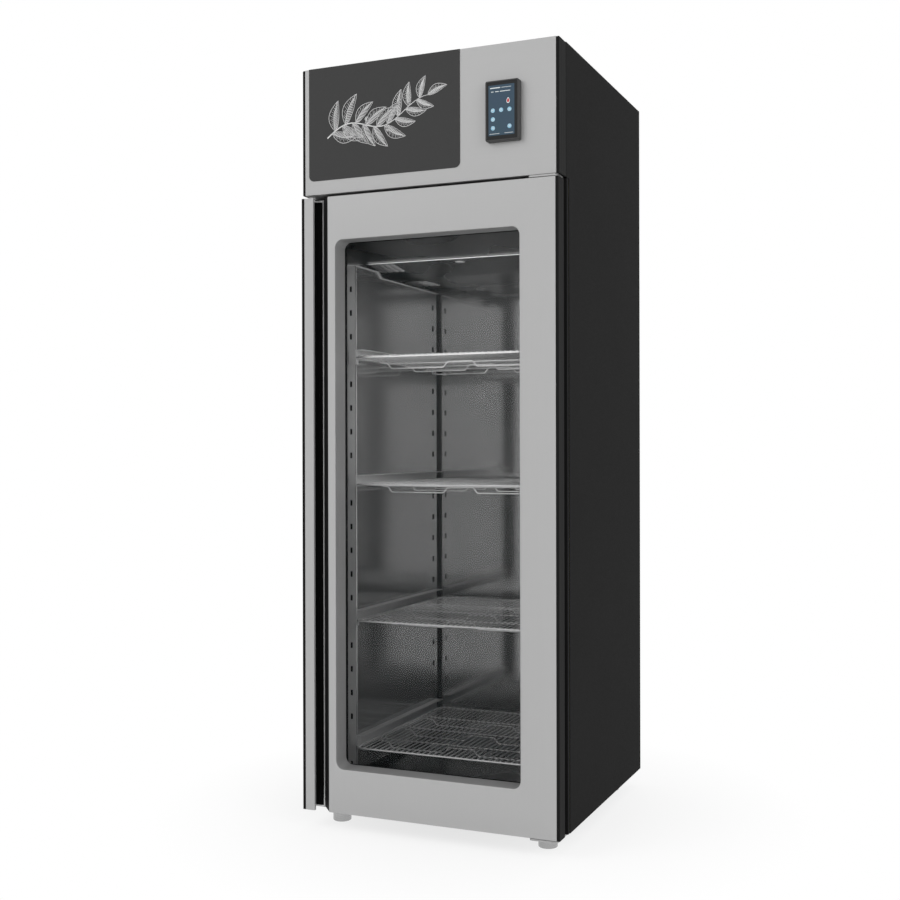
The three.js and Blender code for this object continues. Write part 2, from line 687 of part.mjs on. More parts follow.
// The plate round a fan, with the motor and its axle held behind the wheel by two arms
function fanPlate(radius, [x, z], depth, running, plateX, plateZ) {
  const plateY = around(depth, 2 * frontSheet);
  const hubFront = depth - fan.hubDepth / 2;
  const motorFront = depth + fan.hubDepth / 2 + running;
  const motorRear = motorFront + fan.motorDepth;
  const armDepth = [motorFront, motorFront + fan.bladeThickness];
  const armHeight = around(z, 2 * fan.axleRadius);
  const reach = radius + running + 2 * fan.axleRadius + seat;
  const opening = disc('xz', [x, z], radius + running, widened(plateY, overrun), fan.ringSides);
  const motorRadius = radius * fan.hubShare * fan.motorShare;
  const legs = [-1, 1].map((side) => block(
    sideSpan(side, reach - 2 * fan.axleRadius, reach).map((along) => x + along),
    [plateY[1] - sheet, armDepth[1]], armHeight,
  ));
  return join([
    block(plateX, plateY, plateZ).subtract(opening),
    disc('xz', [x, z], motorRadius, [motorFront, motorRear], fan.hubSides),
    disc('xz', [x, z], fan.axleRadius, [hubFront + overrun + seat, motorRear], fan.axleSides),
    block(around(x, 2 * reach), armDepth, armHeight),
    ...legs,
  ]);
}

function buildColdSide() {
  const under = cavity.ceiling - seat;
  const rear = cavity.rear - coil.rearGap;
  const front = rear - coil.depth;
  const coilHalf = cavity.halfWidth - coil.sideGap;
  const coilBottom = cavity.ceiling - tray.flatDrop + sheet + coil.lift;
  const across = [-coilHalf, coilHalf];
  const fins = finGrooves(across, [front, rear], [coilBottom - overrun, under - coil.lift], coil);
  const body = block(across, [front, rear], [coilBottom, under]);
  addPiece('evaporator_coil', 'galvanised', body.subtract(fins));

  const depth = front - coldFan.coilGap;
  const plateZ = [trayLevelAt(depth - frontSheet) + seat, under];
  const plateHalf = cavity.halfWidth - coldFan.sideGap;
  const plateX = [-plateHalf, plateHalf];
  const radius = coldFan.radiusShare * (plateZ[1] - plateZ[0]);
  const middle = [plateHalf * (2 * coldFan.placeShare - 1), (plateZ[0] + plateZ[1]) / 2];
  addPiece('evaporator_fan', 'blackPlastic', fanWheel(radius, middle, depth));
  const plate = fanPlate(radius, middle, depth, coldFan.running, plateX, plateZ);
  addPiece('evaporator_fan_plate', 'galvanised', plate);
}

function buildCompressor() {
  const x = halfWidth - compressor.sideInset;
  const y = overall.depth - compressor.rearInset;
  const dome = compressor.height * compressor.domeShare;
  const shoulder = compressor.height - dome;
  const domeRing = (angle) => [compressor.radius * Math.cos(angle), shoulder + dome * Math.sin(angle)];
  const profile = [
    [0, 0], [compressor.radius - dome / 2, 0], [compressor.radius, dome / 2], [compressor.radius, shoulder],
    domeRing(Math.PI / 6), domeRing(Math.PI / 3), [0, compressor.height],
  ];
  const potBottom = compartmentFloor + compressor.footHeight / 2;
  const pot = turned(profile, compressor.sides).translate([x, y, potBottom]);
  const outline = roundedOutline(
    around(x, compressor.footWidth), around(y, compressor.footDepth), compressor.footRadius,
  );
  const base = prism('xy', outline, [compartmentFloor, compartmentFloor + compressor.footHeight]);
  addPiece('compressor', 'blackSteel', join([pot, base]));
}

function buildCondenser() {
  const beside = halfWidth - compressor.sideInset - compressor.footWidth / 2 - condenser.gap;
  const across = [condenser.sideInset - halfWidth, beside];
  const height = [compartmentFloor, compartmentFloor + compartmentHeight - condenser.headroom];
  const fanDepth = overall.depth - hotFan.rearInset;
  const rear = fanDepth - condenser.fanGap;
  const depth = [rear - condenser.depth, rear];
  const finHeight = [compartmentFloor + condenser.finDepth, height[1] + overrun];
  const fins = finGrooves(across, depth, finHeight, condenser);
  addPiece('condenser_coil', 'galvanised', block(across, depth, height).subtract(fins));

  const plateX = widened(across, -hotFan.inset);
  const radius = hotFan.radiusShare * Math.min(plateX[1] - plateX[0], height[1] - height[0]);
  const middle = [(plateX[0] + plateX[1]) / 2, (height[0] + height[1]) / 2];
  addPiece('condenser_fan', 'blackPlastic', fanWheel(radius, middle, fanDepth));
  const plate = fanPlate(radius, middle, fanDepth, hotFan.running, plateX, height);
  addPiece('condenser_fan_bracket', 'galvanised', plate);
}

function buildControlBox() {
  const left = controlBox.sideInset - halfWidth;
  const front = mouthRear + controlBox.frontGap;
  const across = [left, left + controlBox.width];
  const deep = [front, front + controlBox.depth];
  const top = compartmentFloor + controlBox.height;
  addPiece('control_box', 'blackPlastic', join([
    block(across, deep, [compartmentFloor, top]),
    block(
      widened(across, -controlBox.lidInset), widened(deep, -controlBox.lidInset),
      [top - controlBox.lidInset, top + controlBox.lidHeight],
    ),
  ]));
}

function buildCableGland() {
  const profile = [
    [0, 0], [gland.flangeRadius, 0], [gland.flangeRadius, gland.flangeDepth],
    [gland.bodyRadius, gland.flangeDepth], [gland.bodyRadius, gland.bodyLength],
    [gland.bore, gland.bodyLength], [gland.bore, gland.flangeDepth], [0, gland.flangeDepth],
  ];
  addPiece('cable_gland', 'rubber', turned(profile, gland.sides).rotate([-90, 0, 0])
    .translate([halfWidth - gland.sideInset, overall.depth - sheet, headerBottom + gland.rise]));
}

function buildHeader() {
  const rear = panelFront - seat;
  const skin = header.setback + frontSheet;
  const reach = halfWidth - header.endWidth - seat;
  const profile = outlineOf([
    [header.setback, headerBottom], [rear, headerBottom], [rear, headerBottom + sheet],
    [skin, headerBottom + sheet], [skin, headerTop - sheet], [rear, headerTop - sheet],
    [rear, headerTop], [header.setback, headerTop],
  ]);
  addPiece('header_front', 'stainless', prism('yz', profile, [-reach, reach]));
  bothSides((name, side) => {
    const across = sideSpan(side, halfWidth - header.endWidth, halfWidth);
    const height = [headerBottom, overall.height - header.endTopGap];
    addPiece(`header_end_${name}`, 'blackPlastic', block(across, [header.setback, rear], height));
  });
}

function buildArtPanel() {
  const rear = header.setback - seat;
  const quarter = Math.PI / 2;
  const left = artPanel.leftInset - halfWidth;
  const right = displayX - display.width / 2 - artPanel.displayGap;
  const bottom = headerBottom + artPanel.rise;
  const { leftRadius, rightRadius } = artPanel;
  const outline = new THREE.Shape();
  outline.moveTo(right, headerTop);
  outline.lineTo(left, headerTop);
  outline.absarc(left + leftRadius, bottom + leftRadius, leftRadius, 2 * quarter, 3 * quarter);
  outline.absarc(right - rightRadius, bottom + rightRadius, rightRadius, 3 * quarter, 4 * quarter);
  outline.closePath();
  addPiece('art_panel', 'darkPanel', prism('xz', outline, [rear - artPanel.thickness, rear]));
}

function buildDisplay() {
  const rear = header.setback - seat;
  const front = header.setback - display.proud;
  const across = around(displayX, display.width);
  const height = around(headerBottom + display.rise, display.height);
  const screen = [front + display.screenRecess, front + display.screenRecess + display.screenDepth];
  const screenOutline = (margin) => roundedOutline(
    widened(across, -margin), widened(height, -margin), display.screenRadius,
  );
  const pocket = prism('xz', screenOutline(display.screenMargin - seat), [front - overrun, screen[1] + seat], 2);
  const housing = prism('xz', roundedOutline(across, height, display.radius), [front, rear], 3);
  addPiece('display_housing', 'darkPanel', housing.subtract(pocket));
  addPiece('display_screen', 'screen', prism('xz', screenOutline(display.screenMargin), screen, 2));
}

function buildFeet() {
  const rim = Array.from({ length: foot.rimSteps + 1 }, (_, i) => {
    const angle = (i / foot.rimSteps) * Math.PI / 2;
    return [
      foot.radius - foot.rimRadius + foot.rimRadius * Math.sin(angle),
      foot.rimRadius - foot.rimRadius * Math.cos(angle),
    ];
  });
  const profile = [[0, 0], ...rim, [foot.radius, footHeight - seat], [0, footHeight - seat]];
  const places = [['front', mouthRear + foot.frontInset], ['rear', overall.depth - foot.rearInset]];
  places.forEach(([place, y]) => {
    bothSides((name, side) => {
      const x = side * (halfWidth - foot.sideInset);
      addPiece(`foot_${place}_${name}`, 'stainless', turned(profile, foot.sides).translate([x, y, 0]));
    });
  });
}

// Both hinge plates reach forward from the cabinet over the door's end and carry a pin
function buildHingePlates() {
  const right = halfWidth - hinge.plateInset;
  const left = right - hinge.plateWidth;
  const pinAt = [halfWidth - hinge.axisInset, hinge.axisDepth];
  const rear = mouthFront - seat;
  const front = [
    [left, rear], [left, hinge.shoulderDepth], [halfWidth - hinge.shoulderInset, hinge.frontDepth],
    [right, hinge.frontDepth],
  ];
  const top = [headerBottom - seat - hinge.plate, headerBottom - seat];
  const topPin = [doorTop - hinge.pinLength, top[0] + hinge.plate / 2];
  addPiece('hinge_plate_top', 'stainless', join([
    prism('xy', outlineOf([...front, [right, rear]]), top),
    disc('xy', pinAt, hinge.pinRadius, topPin, hinge.sides),
  ]));

  const tailRear = mouthRear + hinge.tailLength;
  const tailLeft = halfWidth - hinge.tailInset;
  const tail = [[right, tailRear], [tailLeft, tailRear], [tailLeft, rear]];
  const bottom = [footHeight - seat - hinge.plate, footHeight - seat];
  const bottomPin = [bottom[1] - hinge.plate / 2, doorBottom + hinge.pinLength];
  addPiece('hinge_plate_bottom', 'stainless', join([
    prism('xy', outlineOf([...front, ...tail]), bottom),
    disc('xy', pinAt, hinge.pinRadius, bottomPin, hinge.sides),
  ]));
}

// The window's outline, grown all round
function windowOutline(grow, radius) {
  const across = widened([windowEdge.left, windowEdge.right], grow);
  return roundedOutline(across, widened([windowEdge.bottom, windowEdge.top], grow), radius);
}

// Stainless skin with its ends folded back and a deep reveal round the window
function buildDoorSkin() {
  const profile = outlineOf([
    [0, doorBottom], [door.skinReturn, doorBottom], [door.skinReturn, doorBottom + frontSheet],
    [frontSheet, doorBottom + frontSheet], [frontSheet, doorTop - frontSheet],
    [door.skinReturn, doorTop - frontSheet], [door.skinReturn, doorTop], [0, doorTop],
  ]);
  const cut = windowOutline(frontSheet / 2, door.windowRadius + frontSheet / 2);
  const reveal = windowOutline(frontSheet, door.windowRadius + frontSheet);
  reveal.holes.push(windowOutline(0, door.windowRadius));
  addPiece('door_front_skin', 'stainless', prism('yz', profile, [skinLeft, skinRight])
    .subtract(prism('xz', cut, widened([0, frontSheet], overrun)))
    .add(prism('xz', reveal, [0, door.revealDepth])));
}

// Foamed body: its left side slants back to the grip, and a rim behind it holds the glass
function buildDoorCore() {
  const bottom = doorBottom + frontSheet + seat;
  const top = doorTop - frontSheet - seat;
  const wallFoot = grip.footWidth - halfWidth;
  const plan = outlineOf([
    [skinLeft, frontSheet + seat], [skinRight - seat, frontSheet + seat], [skinRight - seat, door.bodyDepth],
    [wallFoot, door.bodyDepth], [wallFoot, door.bodyDepth - seat - grip.lining],
  ]);
  const step = block(
    [wallFoot, halfWidth - door.stepInset], [door.bodyDepth, door.stepDepth],
    [doorBottom + door.stepInset, doorTop - door.stepInset],
  );
  const paneSide = glazing.margin + seat;
  const rimRear = innerPaneFront + glazing.pane + 3 * seat;
  const rimOutline = windowOutline(paneSide + door.rimWidth, door.windowRadius);
  const rim = prism('xz', rimOutline, [door.bodyDepth, rimRear], 3);
  const paneDepth = [door.stepDepth, rimRear + overrun];
  const paneRoom = prism('xz', windowOutline(paneSide, door.windowRadius), paneDepth, 3);
  const revealSide = frontSheet + seat;
  const through = prism(
    'xz', windowOutline(revealSide, door.windowRadius + revealSide), widened([0, rimRear], overrun),
  );
  const pinAt = [halfWidth - hinge.axisInset, hinge.axisDepth];
  const boreRadius = hinge.pinRadius + hinge.pinClearance;
  const boreDepth = hinge.pinLength + hinge.pinClearance;
  const bores = [[doorBottom - overrun, doorBottom + boreDepth], [doorTop - boreDepth, doorTop + overrun]]
    .map((height) => disc('xy', pinAt, boreRadius, height, hinge.sides));
  addPiece('door_core', 'blackPlastic', join([prism('xy', plan, [bottom, top]), step, rim])
    .subtract(join([paneRoom, through, ...bores])));
}

// The right edge is plain. The left one turns behind the grip as a back wall with a finger pocket.
function buildDoorEdges() {
  const height = [doorBottom, doorTop];
  addPiece('door_edge_right', 'blackPlastic', block([skinRight, halfWidth], [0, door.bodyDepth], height));

  const fromEdge = (inset) => inset - halfWidth;
  const pocketRight = grip.pocketInset + grip.pocketWidth;
  const pocketRear = door.bodyDepth + grip.pocketDepth;
  const plan = outlineOf([
    [fromEdge(0), 0], [fromEdge(door.edgeWidth), 0], [fromEdge(door.edgeWidth), door.bodyDepth],
    [fromEdge(grip.pocketInset), door.bodyDepth], [fromEdge(grip.pocketInset), pocketRear],
    [fromEdge(pocketRight), pocketRear], [fromEdge(pocketRight), door.bodyDepth],
    [fromEdge(grip.footWidth) - seat, door.bodyDepth], [fromEdge(grip.footWidth) - seat, door.stepDepth],
    [fromEdge(grip.backInset), door.stepDepth], [fromEdge(grip.backInset), door.bodyDepth],
    [fromEdge(0), door.bodyDepth],
  ]);
  addPiece('door_edge_left', 'blackPlastic', prism('xy', plan, height));
}

function buildGrip() {
  const height = [doorBottom, doorTop];
  const left = door.edgeWidth + seat - halfWidth;
  const lipRight = grip.lipWidth - halfWidth;
  const lipPlan = outlineOf([
    [left, 0], [lipRight, 0], [lipRight, grip.lipReturn], [lipRight - frontSheet, grip.lipReturn],
    [lipRight - frontSheet, frontSheet], [left, frontSheet],
  ]);
  addPiece('handle_lip', 'stainless', prism('xy', lipPlan, height));

  const rear = door.bodyDepth - seat;
  const depth = [rear - grip.lining, rear];
  const pocketLeft = grip.pocketInset - halfWidth;
  const lining = block([left, grip.footWidth - halfWidth - seat], depth, height);
  const opening = block(
    [pocketLeft, pocketLeft + grip.pocketWidth], widened(depth, overrun), widened(height, -grip.rim),
  );
  addPiece('handle_channel', 'stainless', lining.subtract(opening));
}

function buildGlazing() {
  const pane = windowOutline(glazing.margin, door.windowRadius);
  const outer = [outerPaneFront, outerPaneFront + glazing.pane];
  const inner = [innerPaneFront, innerPaneFront + glazing.pane];
  addPiece('window_glass_outer', 'glass', prism('xz', pane, outer, 3));
  addPiece('window_glass_inner', 'glass', prism('xz', pane, inner, 3));
  const grow = glazing.margin - glazing.spacerInset;
  const spacer = windowOutline(grow, door.windowRadius);
  spacer.holes.push(windowOutline(grow - glazing.spacerWidth, door.windowRadius - glazing.spacerWidth));
  addPiece('glazing_spacer', 'blackPlastic', prism('xz', spacer, [outer[1] + seat, inner[0] - seat], 3));
}

function buildGasket() {
  const across = [gasket.sideInset - halfWidth, halfWidth - gasket.sideInset];
  const height = [doorBottom + gasket.endInset, doorTop - gasket.endInset];
  const seal = squareOutline(across, height);
  seal.holes.push(squareOutline(widened(across, -gasket.width), widened(height, -gasket.width)));
  addPiece('door_gasket', 'rubber', prism('xz', seal, [door.stepDepth + seat, mouthFront - seat]));
}

buildSidePanels();
buildFlatPanels();
buildInsulation();
buildLiner();
buildDoorFrame();
buildRacks();
buildRunners();
buildShelves();
buildTray();
buildLightBar();
buildColdSide();
buildCompressor();
buildCondenser();
buildControlBox();
buildCableGland();
buildHeader();
buildArtPanel();
buildDisplay();
buildFeet();
buildHingePlates();
buildDoorSkin();
buildDoorCore();
buildDoorEdges();
buildGrip();
buildGlazing();
buildGasket();

// The display stands furthest forward and the cable gland furthest back
const frontmost = header.setback - display.proud;
const rearmost = overall.depth - sheet + gland.bodyLength;
assembly.position.y = -(frontmost + rearmost) / 2;
assembly.updateMatrixWorld(true);

export default assembly;
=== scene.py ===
import math
import random

import bmesh
import bpy
from mathutils import Matrix, Vector
from mathutils.geometry import tessellate_polygon


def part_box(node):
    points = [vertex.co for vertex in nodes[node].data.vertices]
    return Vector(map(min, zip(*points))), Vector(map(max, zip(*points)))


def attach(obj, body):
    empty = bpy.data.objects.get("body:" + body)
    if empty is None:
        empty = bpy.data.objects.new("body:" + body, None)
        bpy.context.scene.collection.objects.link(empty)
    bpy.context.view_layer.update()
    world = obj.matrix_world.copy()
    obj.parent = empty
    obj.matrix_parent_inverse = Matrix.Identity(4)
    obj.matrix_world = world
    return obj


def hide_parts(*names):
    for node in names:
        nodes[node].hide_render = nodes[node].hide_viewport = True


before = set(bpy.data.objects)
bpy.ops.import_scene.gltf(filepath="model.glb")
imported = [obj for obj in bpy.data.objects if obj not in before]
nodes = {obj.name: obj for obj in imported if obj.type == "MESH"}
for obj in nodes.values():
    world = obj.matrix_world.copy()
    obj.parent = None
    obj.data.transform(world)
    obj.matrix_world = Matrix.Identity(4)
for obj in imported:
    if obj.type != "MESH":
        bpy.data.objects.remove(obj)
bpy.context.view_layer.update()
scene = bpy.context.scene

mm = 0.001
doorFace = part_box("door_front_skin")[0].y / mm  # depths below count back from the door's front face
print("frame loaded:", len(nodes), "nodes")


# Colours are written as sRGB hex values
def linear(hexColour):
    parts = [int(hexColour[i:i + 2], 16) / 255 for i in (1, 3, 5)]
    return [p / 12.92 if p <= 0.04045 else ((p + 0.055) / 1.055) ** 2.4 for p in parts] + [1.0]


# One node with its settings and links; whole numbers pick a socket by its place
def addNode(tree, kind, settings=None, links=None):
    node = tree.nodes.new("ShaderNode" + kind)
    for name, value in (settings or {}).items():
        if isinstance(name, str) and hasattr(node, name):
            setattr(node, name, value)
        else:
            node.inputs[name].default_value = value
    for name, source in (links or {}).items():
        tree.links.new(source, node.inputs[name])
    return node


# The emptied node tree of a new material or world
def emptyTree(block):
    block.use_nodes = True
    block.node_tree.nodes.clear()
    return block.node_tree


# What several finishes share
groundSheet = {"shades": ("#acacac", "#b0b0b0"), "roughness": (0.36, 0.44), "relief": (0.04, 0.05), "Metallic": 0.55}
rolledSheet = {"grain": 300, "tone": 90, "detail": 1.0, "relief": (0.1, 0.8)}
sparkErodedMould = {"grain": 2.5, "roughness": (0.4, 0.5), "relief": (0.1, 0.08)}
behindGlass = {"Base Color": "#050505", "Roughness": 0.2, "Specular IOR Level": 0.25}

# What each finish is. Sizes are in millimetres: "grain" is the repeat of relief and gloss, along x, y and z where
# three are given, and "tone" is the repeat of the two shades where they have a pattern of their own. "relief" is
# how strong and how high the bump is. Names with a capital are the shader's own inputs.
finishes = {
    # Stainless sheet ground with an abrasive belt: fine parallel scratches blur what it mirrors to a soft satin.
    # The real scratches are under 0.1 mm wide and are drawn 2 mm wide. They run upright on the door.
    "satinSteelUpright": {**groundSheet, "grain": (2, 160, 160)},
    # The same sheet with its scratches lying across, as the header was cut from it
    "satinSteelAcross": {**groundSheet, "grain": (160, 160, 2)},
    # Stainless bar turned on a lathe: bright, with cutting marks round it, drawn 2 mm apart instead of 0.2 mm
    "turnedSteel": {"shades": ("#a8a8a8", "#b0b0b0"), "grain": (160, 160, 2), "roughness": (0.22, 0.3),
                    "relief": (0.04, 0.05), "Metallic": 1.0},
    # Bright annealed stainless, rolled nearly mirror-smooth: clear reflections close by, softer ones further off,
    # with a slight wave over the width of a hand
    "annealedSteelLiner": {**rolledSheet, "shades": ("#a7a7a7", "#afafaf"), "roughness": (0.09, 0.11),
                           "Metallic": 0.88},
    "annealedSteelRack": {**rolledSheet, "shades": ("#a9a9a9", "#b1b1b1"), "roughness": (0.09, 0.11),
                          "Metallic": 0.88},
    # The same sheet brushed dull for the tray and the floor, so that neither dazzles, with shades darker than the
    # walls' that are painted shade
    "brushedSteelTray": {**rolledSheet, "shades": ("#7c7c7c", "#848484"), "roughness": (0.24, 0.3),
                         "Metallic": 0.97},
    # Annealed sheet bent in a press, whose tools leave the folds duller than the flat; its shades, lighter than the
    # rack's sheet, are painted light on the folds
    "pressedSteel": {"shades": ("#c0c0c0", "#cccccc"), "grain": (60, 60, 240), "roughness": (0.3, 0.38),
                     "relief": (0.05, 0.1), "Metallic": 0.3},
    # Mild steel with a cured powder coat: satin black, with a fine orange peel drawn at 4 mm instead of 1 mm
    "powderCoatedSteel": {"shades": ("#1a1a1a", "#1d1d1d"), "grain": 4, "tone": 220, "detail": 1.5,
                          "roughness": (0.6, 0.7), "relief": (0.12, 0.15), "Specular IOR Level": 0.02},
    # Extruded PVC: matt black, with faint draw lines along its length, 3 mm apart
    "extrudedPvc": {"shades": ("#191919", "#1d1d1d"), "grain": (3, 3, 400), "roughness": (0.45, 0.6),
                    "relief": (0.08, 0.08), "Specular IOR Level": 0.02},
    # Hot-dip galvanised sheet: zinc crystals about 12 mm across, each with a shade and a gloss of its own
    "galvanisedSheet": {"shades": ("#8a8d8f", "#a2a5a7"), "grain": 12, "cells": "Color", "roughness": (0.38, 0.55),
                        "Metallic": 0.9},
    # Chrome-plated steel wire: bright, slightly uneven where the wire was drawn before plating
    "chromedWire": {"shades": ("#d0d0d0", "#e6e6e6"), "grain": 30, "roughness": (0.12, 0.22), "Metallic": 0.7},
    # EPDM rubber, extruded and cured: dull black with a dusty bloom in patches of a finger's width
    "extrudedRubber": {"shades": ("#191919", "#262626"), "grain": 25, "roughness": (0.6, 0.8), "relief": (0.1, 0.1),
                       "Specular IOR Level": 0.2},
    # Polyurethane foam, blown in place: matt honey yellow with closed cells, drawn at 4 mm instead of 0.5 mm
    "blownFoam": {"shades": ("#d9cf9b", "#b9a868"), "grain": 4, "cells": "Distance", "relief": (0.5, 0.6),
                  "Roughness": 0.9, "Specular IOR Level": 0.2},
    # Float glass: nearly clear, with a sheen that a thin film of handling makes uneven over 90 mm
    "floatGlass": {"shades": ("#1e2628", "#222a2c"), "grain": 90, "roughness": (0.02, 0.05), "Alpha": 0.05,
                   "Specular IOR Level": 0.5},
    # Opal acrylic, extruded over the light strip: white and evenly lit, with clouds 60 mm long
    "opalAcrylic": {"shades": ("#f0f0ee", "#ffffff"), "grain": 60, "glow": 0.5, "Roughness": 0.4},
    # Enamelled steel plate: an even dark satin with a faint speckle, drawn at 6 mm instead of 0.5 mm
    "enamelledPlate": {"shades": ("#363636", "#3a3a3a"), "grain": 6, "roughness": (0.42, 0.5),
                       "relief": (0.05, 0.05), "Specular IOR Level": 0.15},
    # White ink pulled through a printing screen: thinner and greyer in patches of 9 mm
    "screenPrintedInk": {"shades": ("#b9b9b9", "#e2e2e2"), "grain": 9, "roughness": (0.5, 0.65),
                         "Specular IOR Level": 0.2},
    # Toughened glass printed black on its back: deep and smooth
    "backPrintedGlass": {"shades": ("#0e0f10", "#121314"), "grain": 40, "roughness": (0.3, 0.4),
                         "Specular IOR Level": 0.35},
    # Lit picture elements behind that glass, each with the slight cloudiness of its backlight
    "backlitPicture": {**behindGlass, "shades": ("#3b5661", "#42536a"), "grain": (40, 40, 60), "glow": 0.8},
    "backlitButton": {**behindGlass, "shades": ("#4f9cc4", "#b4dcea"), "grain": 5, "glow": 0.95},
    "backlitMark": {**behindGlass, "shades": ("#dfe8ec", "#f4f8f8"), "grain": 60, "glow": 0.85},
    "backlitDrop": {**behindGlass, "shades": ("#b8343a", "#d2545a"), "grain": 6, "glow": 0.9},
    # Injection-moulded ABS from a spark-eroded mould: a fine even grit, drawn at 2.5 mm instead of 0.1 mm
    "mouldedAbsGrey": {**sparkErodedMould, "shades": ("#363636", "#3c3c3c"), "Specular IOR Level": 0.3},
    "mouldedAbsBlack": {**sparkErodedMould, "shades": ("#161616", "#1e1e1e"), "Specular IOR Level": 0.2},
}

# The noise behind the patterns, and the middle of its range, which it hardly ever leaves
noise = {"detail": 3.0, "roughness": 0.55, "low": 0.25, "high": 0.75}


# A material round one Principled shader, from its line of the table above
def makeFinish(name):
    settings = finishes[name]
    material = bpy.data.materials.new(name)
    tree = emptyTree(material)
    spot = addNode(tree, "TexCoord").outputs["Object"]

    def pattern(size):
        scale = [1000 / side for side in (size if isinstance(size, tuple) else (size,) * 3)]
        spread = addNode(tree, "Mapping", {"Scale": scale}, {"Vector": spot}).outputs[0]
        if "cells" in settings:
            return addNode(tree, "TexVoronoi", {"Scale": 1.0}, {"Vector": spread}).outputs[settings["cells"]]
        detail = settings.get("detail", noise["detail"])
        return addNode(tree, "TexNoise", {"Scale": 1.0, "Detail": detail, "Roughness": noise["roughness"]},
                       {"Vector": spread}).outputs["Fac"]

    grain = pattern(settings["grain"])
    tone = pattern(settings["tone"]) if "tone" in settings else grain
    dark, light = (linear(shade) for shade in settings["shades"])
    colour = addNode(tree, "Mix", {"data_type": "RGBA", 6: dark, 7: light}, {0: tone}).outputs[2]
    driven = {"Emission Color" if "glow" in settings else "Base Color": colour}
    if "roughness" in settings:
        low, high = settings["roughness"]
        spread = {"From Min": noise["low"], "From Max": noise["high"], "To Min": low, "To Max": high}
        driven["Roughness"] = addNode(tree, "MapRange", spread, {"Value": grain}).outputs[0]
    if "relief" in settings:
        strength, height = settings["relief"]
        bump = addNode(tree, "Bump", {"Strength": strength, "Distance": height * mm}, {"Height": grain})
        driven["Normal"] = bump.outputs[0]
    fixed = {key: linear(value) if isinstance(value, str) else value
             for key, value in settings.items() if key[0].isupper()}
    if "glow" in settings:
        fixed["Emission Strength"] = settings["glow"]
    shader = addNode(tree, "BsdfPrincipled", fixed, driven)
    addNode(tree, "OutputMaterial", links={"Surface": shader.outputs[0]})
    return material


finish = {name: makeFinish(name) for name in finishes}
print("materials made:", len(finish))


# Where a point in millimetres, with its depth from the door's face, lies in the frame
def at(x, y, z):
    return Vector((x, y + doorFace, z)) * mm


# The box of a CAD node in millimetres, with depths from the door's face
def span(node):
    low, high = (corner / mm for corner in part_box(node))
    return (low.x, high.x), (low.y - doorFace, high.y - doorFace), (low.z, high.z)


def onPlane(plane, a, b, depth):
    return at(*{"xy": (a, b, depth), "xz": (a, depth, b), "yz": (depth, a, b)}[plane])


# A range with both its ends drawn in
def inset(ends, margin):
    return ends[0] + margin, ends[1] - margin


# A node's name in camel case
def camel(node):
    first, *rest = node.split("_")
    return first + "".join(word.title() for word in rest)


# A right-angled bend, as distances from its two outer sides: from (0, radius) to (radius, 0)
def bendPoints(radius, steps):
    return [(radius * (1 - math.cos(t)), radius * (1 - math.sin(t)))
            for t in (i / steps * math.pi / 2 for i in range(steps + 1))]


def arcPoints(a, b, radius, angles):
    return [(a + radius * math.cos(t), b + radius * math.sin(t)) for t in angles]


def circleLoop(a, b, radius, sides):
    return arcPoints(a, b, radius, [2 * math.pi * i / sides for i in range(sides)])


def boxLoop(across, up):
    return [(across[0], up[0]), (across[1], up[0]), (across[1], up[1]), (across[0], up[1])]


# The points of a rectangle with rounded corners, anticlockwise
def roundedLoop(across, up, radius, steps=8):
    (a0, a1), (b0, b1) = inset(across, radius), inset(up, radius)
    loop = []
    for quarter, (a, b) in enumerate(((a1, b0), (a1, b1), (a0, b1), (a0, b0))):
        loop += arcPoints(a, b, radius, [(quarter - 1 + i / steps) * math.pi / 2 for i in range(steps + 1)])
    return loop


def addBand(bm, near, far):
    for i in range(len(near)):
        k = (i + 1) % len(near)
        bm.faces.new((near[i], near[k], far[k], far[i]))


# A flat outline with holes, given some depth
def addPrism(bm, plane, loops, depths):
    rings = [[[bm.verts.new(onPlane(plane, a, b, depth)) for a, b in loop] for depth in depths] for loop in loops]
    flat = [[Vector((a, b, 0)) for a, b in loop] for loop in loops]
    for side in (0, 1):
        corners = [vert for ring in rings for vert in ring[side]]
        for triangle in tessellate_polygon(flat):
            bm.faces.new([corners[i] for i in triangle])
    for near, far in rings:
        addBand(bm, near, far)


# Quads between one ring of points and the next; the last ring joins the first, or else both ends are filled
def addRings(bm, rings, joined=True):
    verts = [[bm.verts.new(point) for point in ring] for ring in rings]
    for near, far in zip(verts, verts[1:] + verts[:1] if joined else verts[1:]):
        addBand(bm, near, far)
    if not joined:
        bm.faces.new(verts[0])
        bm.faces.new(verts[-1])


# A body turned about an axis, from (radius, distance) pairs; toward is the axis' direction
def addTurned(bm, centre, toward, profile, sides):
    toward = Vector(toward).normalized()
    first = toward.orthogonal().normalized()
    second = toward.cross(first)
    rings = []
    for radius, along in profile:
        middle = Vector(centre) + toward * along
        circle = circleLoop(0, 0, max(radius, 0.01), sides)
        rings.append([at(*(middle + (first * a + second * b))) for a, b in circle])
    addRings(bm, rings, joined=False)


# A pan-head screw with a socket, as shares of the head's radius and height
screwHead = ((1.0, 0.0), (1.0, 0.3), (0.92, 0.7), (0.66, 0.96), (0.5, 1.0), (0.42, 0.96), (0.42, 0.4))


def addScrew(bm, centre, toward, radius, height):
    addTurned(bm, centre, toward, [(radius * r, height * h) for r, h in screwHead], 18)


# A flat stroke of ink or light in the xz plane, wider or narrower from point to point
def addStroke(bm, points, widths, front, back):
    rings = []
    for i, (x, z) in enumerate(points):
        before, after = points[max(i - 1, 0)], points[min(i + 1, len(points) - 1)]
        run, rise = after[0] - before[0], after[1] - before[1]
        length = math.hypot(run, rise) or 1.0
        a, b = -rise / length * widths[i] / 2, run / length * widths[i] / 2
        rings.append([at(x + a, front, z + b), at(x - a, front, z - b), at(x - a, back, z - b),
                      at(x + a, back, z + b)])
    addRings(bm, rings, joined=False)


legShare = 0.45  # the most that an arc takes of a path's leg


